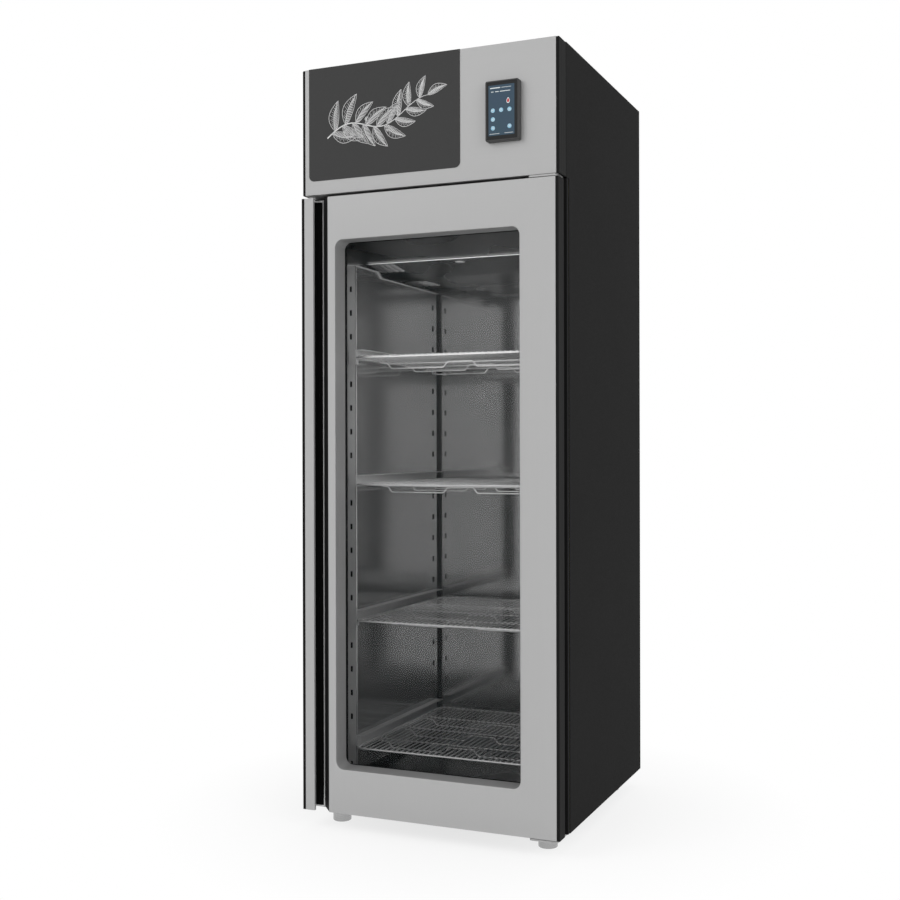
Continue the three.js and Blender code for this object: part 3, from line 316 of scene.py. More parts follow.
# A path with arcs in place of its corners
def eased(points, radius, steps=4):
    path = [Vector(points[0])]
    for before, corner, after in zip(points, points[1:], points[2:]):
        before, corner, after = Vector(before), Vector(corner), Vector(after)
        arriving, leaving = corner - before, after - corner
        reach = min(radius, arriving.length * legShare, leaving.length * legShare)
        start, end = corner - arriving.normalized() * reach, corner + leaving.normalized() * reach
        for t in (i / steps for i in range(steps + 1)):
            path.append(start * (1 - t) ** 2 + corner * 2 * t * (1 - t) + end * t ** 2)
    return path + [Vector(points[-1])]


barEnd = {"radius": 0.6, "reach": 0.35}  # shares of the bar's radius


# A round bar along points in millimetres, with eased ends where it is open
def addBar(bm, points, radius, sides, closed=False):
    points = [Vector(p) for p in points]
    count = len(points)
    normal = None
    rings = []
    for i, point in enumerate(points):
        before = points[i - 1] if i or closed else point
        after = points[(i + 1) % count] if i < count - 1 or closed else point
        along = (after - before).normalized()
        if normal is None:
            normal = along.orthogonal().normalized()
        normal = (normal - along * normal.dot(along)).normalized()
        across = along.cross(normal)
        rings.append([point + normal * a + across * b for a, b in circleLoop(0, 0, radius, sides)])
    if not closed:
        for end, inner in ((0, 1), (-1, -2)):
            out = (points[end] - points[inner]).normalized()
            middle = points[end]
            cap = [middle + (p - middle) * barEnd["radius"] + out * radius * barEnd["reach"] for p in rings[end]]
            rings = [cap] + rings if end == 0 else rings + [cap]
    addRings(bm, [[at(*p) for p in ring] for ring in rings], joined=closed)


# The mesh code's result as an object of one material
def addObject(name, bm, material):
    mesh = bpy.data.meshes.new(name)
    bm.to_mesh(mesh)
    bm.free()
    mesh.materials.append(material)
    made = bpy.data.objects.new(name, mesh)
    scene.collection.objects.link(made)
    return made


def dress(node, material):
    held = nodes[node].material_slots
    if not held:
        nodes[node].data.materials.append(finish[material])
    for slot in held:
        slot.material = finish[material]


# Points this near in metres are one; faces this flat in degrees join before a bevel, which rounds steeper edges
meshing = {"weld": 1e-6, "flat": 0.5, "bevelFrom": 30}


# A piece on a body. The CAD node that it replaces takes the same finish. Edges flatter than "smooth" shade softly.
def finishPiece(name, bm, material, slot, replaces=None, body="cabinet", bevel=0.0, segments=2, smooth=35):
    bmesh.ops.remove_doubles(bm, verts=bm.verts, dist=meshing["weld"])
    if bevel:
        bmesh.ops.dissolve_limit(bm, angle_limit=math.radians(meshing["flat"]), verts=bm.verts, edges=bm.edges)
    bmesh.ops.recalc_face_normals(bm, faces=bm.faces)
    for face in bm.faces:
        face.smooth = True
    for edge in bm.edges:
        edge.smooth = edge.calc_face_angle(0) < math.radians(smooth)
    piece = addObject(name, bm, finish[material])
    if bevel:
        rounding = piece.modifiers.new("rounding", "BEVEL")
        rounding.width = bevel * mm
        rounding.segments = segments
        rounding.limit_method = "ANGLE"
        rounding.angle_limit = math.radians(meshing["bevelFrom"])
        rounding.harden_normals = True
    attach(piece, body)
    if replaces:
        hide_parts(replaces)
        dress(replaces, material)


# A piece that is one flat outline with holes, given some depth
def prismPiece(name, plane, loops, depths, *looks, **more):
    bm = bmesh.new()
    addPrism(bm, plane, loops, depths)
    finishPiece(name, bm, *looks, **more)


# Camera at the photograph's place, solved from the cabinet's own straight edges
cameraView = {
    "eye": (1.357622, -3.381849, 1.044306), "lens": 49.84, "sensor": 36, "farthest": 60,
    "right": (0.91836039, 0.39573805, -0.00236253), "up": (0.00110657, 0.00340194, 0.9999936),
}


def buildCamera():
    data = bpy.data.cameras.new("camera")
    data.lens, data.sensor_width, data.clip_end = (cameraView[key] for key in ("lens", "sensor", "farthest"))
    camera = bpy.data.objects.new("camera", data)
    right = Vector(cameraView["right"]).normalized()
    back = right.cross(Vector(cameraView["up"])).normalized()
    camera.matrix_world = Matrix((right, back.cross(right), back)).transposed().to_4x4()
    camera.location = cameraView["eye"]
    scene.collection.objects.link(camera)
    scene.camera = camera


# Rays that show the surroundings themselves: to the eye, in a reflection or through glass
def seenDirectly(tree):
    path = addNode(tree, "LightPath")
    first = addNode(tree, "Math", {"operation": "MAXIMUM"},
                    {0: path.outputs["Is Camera Ray"], 1: path.outputs["Is Glossy Ray"]})
    return addNode(tree, "Math", {"operation": "MAXIMUM"},
                   {0: first.outputs[0], 1: path.outputs["Is Transmission Ray"]}).outputs[0]


# The floor keeps the cabinet's shadow near it and fades to white with distance. Sizes are in metres.
studio = {"ambient": 0.55, "floor": "#f0f0f0", "floorSize": 14, "fadeFrom": 0.25, "shadowReach": 0.95,
          "nearWhite": 0.72}

# Where each lamp stands, what it faces, its two sizes and its power
lamps = {
    "keyLamp": ((-2.6, -3.4, 3.4), (0, 0, 1), (2.6, 2.6), 80),
    "fillLamp": ((3.4, -2.4, 2.2), (0, 0, 1), (3.0, 3.0), 82),
    "windowLight": ((0, at(0, 92, 0).y, 1.25), (0, 1, 1.25), (0.45, 0.6), 2.2),
    "backLamp": ((0.4, 3.6, 3.2), (0, 0, 1), (3.0, 3.0), 60),
    "stripLight": ((0, at(0, 500, 0).y, 1.555), (0, at(0, 500, 0).y + 0.001, 0), (0.5, 0.3), 0.8),
}


def buildStudio():
    world = bpy.data.worlds.new("studioSurround")
    tree = emptyTree(world)
    level = addNode(tree, "MapRange", {"To Min": studio["ambient"], "To Max": 1.0}, {"Value": seenDirectly(tree)})
    back = addNode(tree, "Background", {"Color": (1, 1, 1, 1)}, {"Strength": level.outputs[0]})
    addNode(tree, "OutputWorld", links={"Surface": back.outputs[0]})
    scene.world = world
    scene.view_settings.view_transform = "Standard"

    material = bpy.data.materials.new("paintedFloor")
    tree = emptyTree(material)
    spot = addNode(tree, "TexCoord")
    distance = addNode(tree, "VectorMath", {"operation": "LENGTH"}, {0: spot.outputs["Object"]})
    ranges = {"From Min": studio["fadeFrom"], "From Max": studio["shadowReach"], "To Min": studio["nearWhite"],
              "To Max": 1.0}
    fade = addNode(tree, "MapRange", ranges, {"Value": distance.outputs["Value"]})
    shown = addNode(tree, "Math", {"operation": "MULTIPLY"}, {0: fade.outputs[0], 1: seenDirectly(tree)})
    paint = addNode(tree, "BsdfDiffuse", {"Color": linear(studio["floor"])})
    white = addNode(tree, "Emission", {"Color": (1, 1, 1, 1), "Strength": 1.0})
    mixed = addNode(tree, "MixShader", links={0: shown.outputs[0], 1: paint.outputs[0], 2: white.outputs[0]})
    addNode(tree, "OutputMaterial", links={"Surface": mixed.outputs[0]})
    bm = bmesh.new()
    half = studio["floorSize"] / 2
    bm.faces.new([bm.verts.new((x, y, 0)) for x, y in boxLoop((-half, half), (-half, half))])
    addObject("floor", bm, material)

    for name, (place, target, size, power) in lamps.items():
        data = bpy.data.lights.new(name, "AREA")
        data.shape = "RECTANGLE"
        data.size, data.size_y = size
        data.energy = power
        lamp = bpy.data.objects.new(name, data)
        lamp.location = place
        lamp.rotation_euler = (Vector(target) - Vector(place)).to_track_quat("-Z", "Z").to_euler()
        lamp.visible_glossy = False  # the lamps stay out of the metal, which shows the even white room
        scene.collection.objects.link(lamp)


buildCamera()
buildStudio()
print("camera and studio ready")


# CAD nodes that show themselves, by finish; those that a finer piece replaces are dressed with it
dressing = {
    "powderCoatedSteel": ("side_panel_left", "side_panel_right", "top_cover"),
    "galvanisedSheet": ("rear_panel", "base_panel", "compartment_deck", "evaporator_fan_plate",
                        "condenser_fan_bracket"),
    "blownFoam": ("wall_insulation",),
    "annealedSteelLiner": ("liner_left", "liner_right", "liner_rear"),
    "brushedSteelTray": ("air_duct_shroud", "liner_floor", "liner_ceiling"),
    "pressedSteel": [node for node in nodes if node.startswith("shelf_runner")],
    "extrudedPvc": ("door_frame", "door_core", "door_edge_left", "door_edge_right"),
    "mouldedAbsBlack": ("control_box",),
    "floatGlass": ("window_glass_outer", "window_glass_inner"),
}
for material, names in dressing.items():
    for node in names:
        dress(node, material)
print("nodes dressed")


# Door skin: sheet folded round its edge, with a soft bend into the window's deep reveal
doorSkin = {"sheet": 1.2, "windowMargin": 14, "windowRadius": 22, "windowBend": 3.0, "edgeBend": 1.4,
            "edgeRadius": 2.0, "return": 12, "returnMargin": 2, "bendSteps": 5}


def buildDoorSkin():
    d = doorSkin
    across, deep, up = span("door_front_skin")
    glass = span("window_glass_outer")
    window = inset(glass[0], d["windowMargin"]), inset(glass[2], d["windowMargin"])
    bend, edge, sheet, back, steps = d["windowBend"], d["edgeBend"], d["sheet"], deep[1], d["bendSteps"]

    def ring(sides, grow, radius, depth):
        loop = roundedLoop(inset(sides[0], -grow), inset(sides[1], -grow), radius, 10)
        return [at(a, depth, b) for a, b in loop]

    def edgeRing(grow, depth):
        return ring((across, up), grow, d["edgeRadius"], depth)

    def windowRing(grow, depth):
        return ring(window, grow, d["windowRadius"] + grow, depth)

    # from the outer edge's side onto the face, from the face into the reveal, and back behind the sheet
    rings = [edgeRing(-a, b) for a, b in bendPoints(edge, steps)]
    rings += [windowRing(b, a) for a, b in bendPoints(bend, steps)]
    rings += [windowRing(0, back), windowRing(sheet, back), windowRing(sheet, bend + sheet),
              windowRing(bend + sheet, sheet), edgeRing(-edge, sheet)]
    bm = bmesh.new()
    addRings(bm, rings)
    for ends in ((up[0], up[0] + sheet), (up[1] - sheet, up[1])):
        addPrism(bm, "xy", [boxLoop(inset(across, d["returnMargin"]), (sheet, d["return"]))], ends)
    finishPiece("doorSkin", bm, "satinSteelUpright", "stainless", "door_front_skin", "door", smooth=50)


# Wire shelves: a rail all round, wires welded over it and kinked stay wires below
wireShelf = {
    "railRadius": 3.0, "wireRadius": 1.8, "stayRadius": 2.0, "cornerRadius": 16, "wires": 32, "wireInset": 14.5,
    "wireLift": 3.4, "overhang": 1.2, "stayDrop": 9, "kinkDrop": 16, "kinkRun": 13, "kinkOuter": 227,
    "kinkInner": 38, "endFlat": 8, "endRun": 8, "stayShares": (0.232, 0.5, 0.761), "staySpacing": 29, "stayBend": 4.5,
}


def buildShelf(node):
    s = wireShelf
    across, deep, up = span(node)
    rail = s["railRadius"]
    level = up[1] - rail
    bm = bmesh.new()
    loop = roundedLoop(inset(across, rail), inset(deep, rail), s["cornerRadius"], 6)
    addBar(bm, [(a, b, level) for a, b in loop], rail, 12, closed=True)
    outer = across[1] - s["wireInset"]
    for i in range(s["wires"]):
        x = outer * (2 * i / (s["wires"] - 1) - 1)
        line = [(x, y, level + s["wireLift"]) for y in inset(deep, rail - s["overhang"])]
        addBar(bm, line, s["wireRadius"], 8)
    high = level - s["stayDrop"]
    low = high - s["kinkDrop"]
    start = across[0] + rail
    half = [(start, level), (start + s["endFlat"], level), (start + s["endFlat"] + s["endRun"], high)]
    kinks = [(-s["kinkOuter"], high), (s["kinkRun"] - s["kinkOuter"], low), (-s["kinkInner"] - s["kinkRun"], low),
             (-s["kinkInner"], high)]
    for share in s["stayShares"]:
        y = deep[0] + share * (deep[1] - deep[0])
        for turns, depth in ((half + kinks, y), (half, y + s["staySpacing"])):
            line = turns + [(-x, z) for x, z in reversed(turns)]
            addBar(bm, eased([(x, depth, z) for x, z in line], s["stayBend"]), s["stayRadius"], 8)
    body = node.replace("wire_", "")
    finishPiece(camel(node), bm, "chromedWire", "wire", node, body, smooth=60)


buildDoorSkin()
for number in (1, 2, 3, 4):
    buildShelf(f"wire_shelf_{number}")
print("door skin and shelves made")


# Header: a folded steel pan with rounded front edges, and its black end caps, whose front corner slopes
header = {"fold": 2.0, "foldSteps": 4, "sheet": 1.2, "capRound": 2.2, "capSlope": (3.6, 2.25)}


def buildHeader():
    across, (front, back), (low, high) = span("header_front")
    fold, sheet = header["fold"], header["sheet"]

    def folded(z, toward):
        return [(front + a, z - toward * b) for a, b in bendPoints(fold, header["foldSteps"])]

    outer = [(back, low), *reversed(folded(low, -1)), *folded(high, 1), (back, high)]
    inner = [(back, high - sheet), (front + sheet, high - sheet), (front + sheet, low + sheet), (back, low + sheet)]
    prismPiece("headerPan", "yz", [outer + inner], across, "satinSteelAcross", "stainless", "header_front")
    run, drop = header["capSlope"]
    for side in ("left", "right"):
        node = f"header_end_{side}"
        across, (front, back), (low, high) = span(node)
        outline = [(front, low), (back, low), (back, high), (front + run, high), (front, high - drop)]
        prismPiece(f"headerCap{side.title()}", "yz", [outline], across, "extrudedPvc", "black_plastic", node,
                   bevel=header["capRound"], segments=3)


# Dark plate on the header with two rounded lower corners, and on it a branch in the manner of an engraving: its
# leaves are hatched from the midrib outward in white ink. Widths are multiples of "line" or, for hatches, "fine".
branch = {
    "plateCorner": 15, "plateBevel": 0.3, "centre": (-142, 1918), "length": 300, "rise": 66, "wave": 20, "waves": 1.3,
    "stemSteps": 24, "stemWidths": (2.4, 0.8), "leaves": 9, "firstLeaf": 0.05, "leafSpread": 0.84, "leafTurn": 0.82,
    "turnJitter": 0.1, "leafSizes": (1.05, 0.35), "sizeJitter": (0.9, 1.08), "stagger": 0.03, "tipLeaf": (0.35, 0.72),
    "leafLength": 82, "leafWidth": 31, "leafSteps": 12, "ribWidths": (1.2, 0.5), "bow": 0.1, "bluntness": (0.85, 0.9),
    "hatches": 13, "moreHatches": 4, "hatchedShare": 0.93, "hatchReach": (0.95, 0.62), "hatchLean": 0.1,
    "hatchPoints": ((0.06, 1.0), (0.4, 1.15), (0.75, 0.85), (1.0, 0.35)), "line": 1.5, "fine": 0.7, "ink": 0.15,
    "seed": 7, "berries": 4, "berry": 6.5, "firstBerry": 0.17, "berrySpacing": 0.21, "berryTaper": 0.12,
    "stalk": (6, 2.6),
    "berryRings": ((1.0, 0.9, 2.0), (0.74, 1.2, 1.35), (0.48, 1.5, 1.35), (0.2, 1.8, 1.35)),
}


def buildArtPanel():
    b = branch
    across, (front, back), (low, high) = span("art_panel")
    outline = roundedLoop(across, (low, high + b["plateCorner"]), b["plateCorner"])
    outline = [(x, min(z, high)) for x, z in outline]
    outline = [point for i, point in enumerate(outline) if point != outline[i - 1]]
    prismPiece("artPlate", "xz", [outline], (front, back), "enamelledPlate", "dark_panel", "art_panel",
               bevel=b["plateBevel"])

    rng = random.Random(b["seed"])
    ink = bmesh.new()

    def stroke(points, widths):
        addStroke(ink, points, widths, front - b["ink"], front)

    def tapered(place, steps, widths):
        first, last = widths
        shares = [i / steps for i in range(steps + 1)]
        stroke([place(t) for t in shares], [b["line"] * (first + (last - first) * t) for t in shares])

    def stemAt(t):
        (x, z), along = b["centre"], t - 0.5
        return x + along * b["length"], z + b["rise"] * along + b["wave"] * math.sin(2 * b["waves"] * math.pi * t)

    def leaf(base, angle, size, shadedSide):
        long, wide, steps = b["leafLength"] * size, b["leafWidth"] * size / 2, b["leafSteps"]
        early, blunt = b["bluntness"]

        # a point that far along the leaf's straight axis, and out from it
        def place(t, out):
            return (base[0] + long * t * math.cos(angle) - out * math.sin(angle),
                    base[1] + long * t * math.sin(angle) + out * math.cos(angle))

        def mid(t):
            return b["bow"] * long * shadedSide * math.sin(math.pi * t)

        def half(t):
            return wide * math.sin(math.pi * t ** early) ** blunt

        tapered(lambda t: place(t, mid(t)), steps, b["ribWidths"])
        for side in (-1, 1):
            shaded = side == shadedSide
            edge = [place(t, mid(t) + side * half(t)) for t in (i / steps for i in range(steps + 1))]
            stroke(edge, [b["fine"] * (1.5 if shaded else 1.1)] * (steps + 1))
            count = b["hatches"] + (0 if shaded else b["moreHatches"])
            full = b["fine"] * (1.0 if shaded else 2.5)
            for k in range(1, count):
                t = k / count * b["hatchedShare"]
                reach = b["hatchReach"][1 if shaded and k % 2 else 0] + rng.uniform(-0.08, 0.02)
                tip = min(t + b["hatchLean"], 0.99)
                line = [place(t + (tip - t) * s * reach, mid(t) + side * half(tip) * s * reach)
                        for s, _ in b["hatchPoints"]]
                stroke(line, [full * width for _, width in b["hatchPoints"]])

    tapered(stemAt, b["stemSteps"], b["stemWidths"])
    for i in range(b["leaves"]):
        t = b["firstLeaf"] + b["leafSpread"] * i / (b["leaves"] - 1)
        here, ahead = stemAt(t), stemAt(t + 0.02)
        heading = math.atan2(ahead[1] - here[1], ahead[0] - here[0])
        for side in (-1, 1):
            turn = b["leafTurn"] + rng.uniform(-b["turnJitter"], b["turnJitter"])
            size = (b["leafSizes"][0] - b["leafSizes"][1] * t) * rng.uniform(*b["sizeJitter"])
            leaf(stemAt(t + b["stagger"] * (side + 1) / 2), heading + side * turn, size, side)
    leaf(stemAt(1.0), *b["tipLeaf"], 1)
    for i in range(b["berries"]):
        x, z = stemAt(b["firstBerry"] + b["berrySpacing"] * i)
        radius = b["berry"] * (1 - b["berryTaper"] * i)
        middle = (x + b["stalk"][0], z + (1 if i % 2 else -1) * b["stalk"][1] * radius)
        stroke([(x, z), middle], [b["fine"] * 1.6] * 2)
        for share, width, turn in b["berryRings"]:  # turn counts half circles
            arc = arcPoints(*middle, radius * share, [0.9 + turn * math.pi * k / 16 for k in range(17)])
            stroke(arc, [b["fine"] * width] * 17)
    finishPiece("branchPrint", ink, "screenPrintedInk", "dark_panel")


# Touch display: a moulded case with a raised rim round dark glass, and a lit picture of plain symbols. "margins" are
# the picture's at the left, right, bottom and top. "buttons" and "drop" are placed by shares of the picture, and
# "bars" too: each is a height, a start, an end and a thickness.
display = {
    "rim": 4.0, "rimLip": (0.6, 0.2, 0.3), "round": 2.0, "roundSteps": 5, "corner": 5.0, "glassGap": 0.1,
    "glassCorner": 2.0, "glassBevel": 0.3, "margins": (5.0, 7.8, 10.0, 8.0), "layer": 0.08,
    "symbol": {"turn": 0.7, "bend": (0.3, 0.5), "tip": 0.62, "widths": (1.5, 1.3, 0.6), "ring": 0.8,
               "ringWidth": 0.5},
    "button": 5.6, "buttons": ((0.17, 0.5), (0.49, 0.5), (0.81, 0.5), (0.17, 0.325), (0.17, 0.15), (0.81, 0.165)),
    "bars": ((0.945, 0.06, 0.46, 2.4), (0.945, 0.5, 0.88, 1.0), (0.87, 0.1, 0.2, 1.8), (0.87, 0.26, 0.4, 1.8),
             (0.87, 0.44, 0.84, 1.8), (0.035, 0.04, 0.42, 1.0), (0.035, 0.62, 0.95, 1.0)),
    "drop": (0.76, 0.675, 5.4),
}


def buildDisplay():
    d = display
    across, deep, up = span("display_housing")
    (x0, x1), (front, back), (z0, z1) = span("display_screen")
    rim, (fall, lip, lipDepth) = d["rim"], d["rimLip"]

    def ring(margin, depth):
        loop = roundedLoop(inset(across, margin), inset(up, margin), max(d["corner"] - margin, 1.0))
        return [at(a, depth, b) for a, b in loop]

    case = bmesh.new()
    rings = [ring(0, deep[1])]
    rings += [ring(a, deep[0] + b) for a, b in bendPoints(d["round"], d["roundSteps"])]
    rings += [ring(rim - fall, deep[0]), ring(rim - lip, deep[0] + lipDepth), ring(rim - lip, back + lip)]
    addRings(case, rings, joined=False)
    finishPiece("displayCase", case, "mouldedAbsGrey", "display_case", "display_housing")

    outline = roundedLoop(inset((x0, x1), d["glassGap"]), inset((z0, z1), d["glassGap"]), d["glassCorner"], 5)
    prismPiece("displayGlass", "xz", [outline], (front, back), "backPrintedGlass", "screen", "display_screen",
               bevel=d["glassBevel"])

    m, symbol = d["margins"], d["symbol"]
    left, right, low, high = x0 + m[0], x1 - m[1], z0 + m[2], z1 - m[3]
    wide, tall = right - left, high - low
    layers = [front - n * d["layer"] for n in range(4)]  # from the glass outward
    outline = roundedLoop((left, right), (low, high), 1.0, 3)
    prismPiece("screenPicture", "xz", [outline], (layers[1], layers[0]), "backlitPicture", "screen")
    discs, marks = bmesh.new(), bmesh.new()
    for i, (a, b) in enumerate(d["buttons"]):
        x, z, r = left + a * wide, low + b * tall, d["button"]
        addPrism(discs, "xz", [circleLoop(x, z, r, 28)], (layers[2], layers[1]))
        for k in range(3):  # three strokes, turned a little further on each button
            angle = 0.5 + i * symbol["turn"] + k * 2 * math.pi / 3
            share, lead = symbol["bend"]
            bend, tip = arcPoints(x, z, share * r, [angle + lead]), arcPoints(x, z, symbol["tip"] * r, [angle])
            addStroke(marks, [(x, z), *bend, *tip], symbol["widths"], layers[3], layers[2])
        arc = arcPoints(x, z, symbol["ring"] * r, [0.4 + i + 1.4 * math.pi * k / 14 for k in range(15)])
        addStroke(marks, arc, [symbol["ringWidth"]] * 15, layers[3], layers[2])
    for b, a0, a1, thick in d["bars"]:
        z = low + b * tall
        outline = roundedLoop((left + a0 * wide, left + a1 * wide), (z - thick / 2, z + thick / 2), thick * 0.45, 3)
        addPrism(marks, "xz", [outline], (layers[2], layers[1]))
    finishPiece("screenButtons", discs, "backlitButton", "screen")
    finishPiece("screenMarks", marks, "backlitMark", "screen")

    # a drop shape with a pale edge warns in red
    a, b, size = d["drop"]
    x, z = left + a * wide, low + b * tall
    for name, share, material, depth in (("dropEdge", 1.0, "backlitMark", layers[2]),
                                         ("dropFill", 0.72, "backlitDrop", layers[3])):
        r = size * share
        loop = [(x + r * math.sin(t) * (0.62 + 0.38 * (1 - math.cos(t)) / 2), z + r * math.cos(t) * 1.35)
                for t in (2 * math.pi * k / 28 for k in range(28))]
        prismPiece(name, "xz", [loop], (depth, layers[1]), material, "screen")


# Round levelling feet: a turned sleeve with a soft lower edge, a nut's collar and a threaded stem
foot = {"round": 3.0, "roundSteps": 4, "sole": 6, "sleeveTop": 39, "chamfer": 1.0, "stem": 6.0, "collar": 3.0,
        "collarRadii": (4, 2), "collarChamfer": 0.5, "pitch": 1.75, "threadDepth": 0.9}


def buildFoot(node):
    across, deep, up = span(node)
    radius, stem, sleeve = (across[1] - across[0]) / 2, foot["stem"], foot["sleeveTop"]
    top, z, pitch = up[1] - up[0], sleeve + foot["collar"], foot["pitch"]
    profile = [(radius - foot["sole"], 0.0)]
    profile += [(radius - b, a) for a, b in bendPoints(foot["round"], foot["roundSteps"])]
    low, high = (stem + more for more in foot["collarRadii"])
    profile += [(radius, sleeve - foot["chamfer"]), (radius - foot["chamfer"], sleeve), (low, sleeve),
                (low, z - foot["collarChamfer"]), (high, z)]
    while z + pitch < top:
        profile += [(stem, z), (stem + foot["threadDepth"], z + pitch / 2)]
        z += pitch
    profile.append((stem, top))
    bm = bmesh.new()
    addTurned(bm, (sum(across) / 2, sum(deep) / 2, up[0]), (0, 0, 1), profile, 48)
    finishPiece(camel(node), bm, "turnedSteel", "foot_steel", node)


# Hinge plates: laser-cut, with rounded corners, a shouldered pin and two screws
hinge = {"plate": 5, "trim": 5, "corner": 8, "bevel": 0.5, "pin": (352, 21), "pinRadius": 5.0, "shoulder": (8.1, 1.2),
         "screws": (300, 328), "screwDepth": 50, "screw": (4.0, 1.8)}


def buildHinge(node):
    place = node.split("_")[-1]
    across, deep, (low, high) = span(node)
    plate = (high - hinge["plate"], high) if place == "top" else (low, low + hinge["plate"])
    start, away = (plate[0], -1) if place == "top" else (plate[1], 1)
    outline = roundedLoop((across[0], across[1] - hinge["trim"]), deep, hinge["corner"])
    prismPiece(camel(node), "xy", [outline], plate, "satinSteelAcross", "stainless", node, bevel=hinge["bevel"])
    pin = bmesh.new()
    radius, reach, (wide, thick) = hinge["pinRadius"], high - low - hinge["plate"], hinge["shoulder"]
    profile = [(wide, 0), (wide, thick), (radius, thick), (radius, reach - 1), (radius - 1, reach)]
    addTurned(pin, (*hinge["pin"], start), (0, 0, away), profile, 28)
    for x in hinge["screws"]:
        addScrew(pin, (x, hinge["screwDepth"], start), (0, 0, away), *hinge["screw"])
    finishPiece(f"hingePin{place.title()}", pin, "galvanisedSheet", "stainless")


# Handle: a folded strip whose inner edge turns back, over a lining whose finger opening has a rolled edge
handle = {"sheet": 1.2, "bend": 2.4, "bendSteps": (5, 4), "openingLeft": -357, "rim": 4.2, "endRim": 5, "corner": 2,
          "roll": 1.5}


def buildHandle():
    (left, right), (front, back), (low, high) = span("handle_lip")
    sheet, bend = handle["sheet"], handle["bend"]
    outerSteps, innerSteps = handle["bendSteps"]
    outline = [(left, front + sheet), (left, front)]
    outline += [(right - b, front + a) for a, b in bendPoints(bend, outerSteps)]
    outline += [(right, back), (right - sheet, back)]
    outline += [(right - sheet - a, front + sheet + b) for a, b in bendPoints(bend - sheet, innerSteps)]
    prismPiece("handleStrip", "xy", [outline], (low, high), "satinSteelUpright", "stainless", "handle_lip", "door")

    across, deep, up = span("handle_channel")
    start, rim, roll = handle["openingLeft"], across[1] - handle["rim"], handle["roll"]
    ends = inset(up, handle["endRim"])
    opening = roundedLoop((start, rim), ends, handle["corner"], 4)
    prismPiece("handleLining", "xz", [boxLoop(across, up), opening], deep, "satinSteelUpright", "stainless",
               "handle_channel", "door")
    edge = bmesh.new()
    x, y = rim + roll, deep[0] + roll * 0.3
    bars = inset(ends, -roll)
    addBar(edge, [(x, y, z) for z in bars], roll, 12)
    for z in bars:
        addBar(edge, [(start, y, z), (x - roll, y, z)], roll, 12)
    finishPiece("handleRolledEdge", edge, "chromedWire", "stainless", body="door", smooth=50)


# Magnetic seal: bellows between a snap-in foot and a magnet head, as (distance inward, depth)
gasketProfile = (
    (0, 57.9), (5, 57.9), (6, 59.4), (3.6, 61.2), (1.2, 62.6), (3.4, 64.2), (6.4, 65.2), (5.0, 66.6), (1.5, 67.6),
    (0.6, 69.0), (0.9, 71.2), (2.2, 71.9), (12, 71.9), (21.6, 71.9), (23.0, 71.2), (23.4, 69.0), (22.2, 67.6),
    (18.6, 66.6), (17.4, 65.2), (20.4, 64.2), (22.8, 62.6), (20.2, 61.2), (18, 59.4), (19, 57.9), (24, 57.9),
)


def buildGasket():
    across, _, up = span("door_gasket")
    bm = bmesh.new()
    addRings(bm, [[at(x, depth, z) for x, z in boxLoop(inset(across, inward), inset(up, inward))]
                  for inward, depth in gasketProfile])
    finishPiece("bellowsSeal", bm, "extrudedRubber", "rubber", "door_gasket", "door", smooth=50)


# Side racks: one folded sheet each, with slots down its front fold and down a doubled strip at the rear. Thin black
# sheets behind the slots are painted shade that leaves them dark, and one more fills the gap to the rear wall with
# painted shade.
rack = {
    "face": 280, "sheet": 1.0, "lip": 8, "fold": 28, "lift": 18, "footDepth": 26, "step": 16, "stepStart": 278,
    "stepRun": 24, "slotHeight": 16, "foldSlot": 7, "foldInset": 16, "faceSlot": 14, "rearInset": 29,
    "firstSlot": 146.6, "slotPitch": 67.2, "lastSlot": 1500, "strip": 61, "stripProud": 0.5, "pinRadius": 3.5,
    "pinInset": 15, "pinShares": (0.142, 0.547), "roll": 2.2, "rollDepth": 0.6, "lipRoll": 1.3, "tape": 16,
    "tapeSheet": 0.6, "gapInset": 4, "wallInset": -0.2,
}


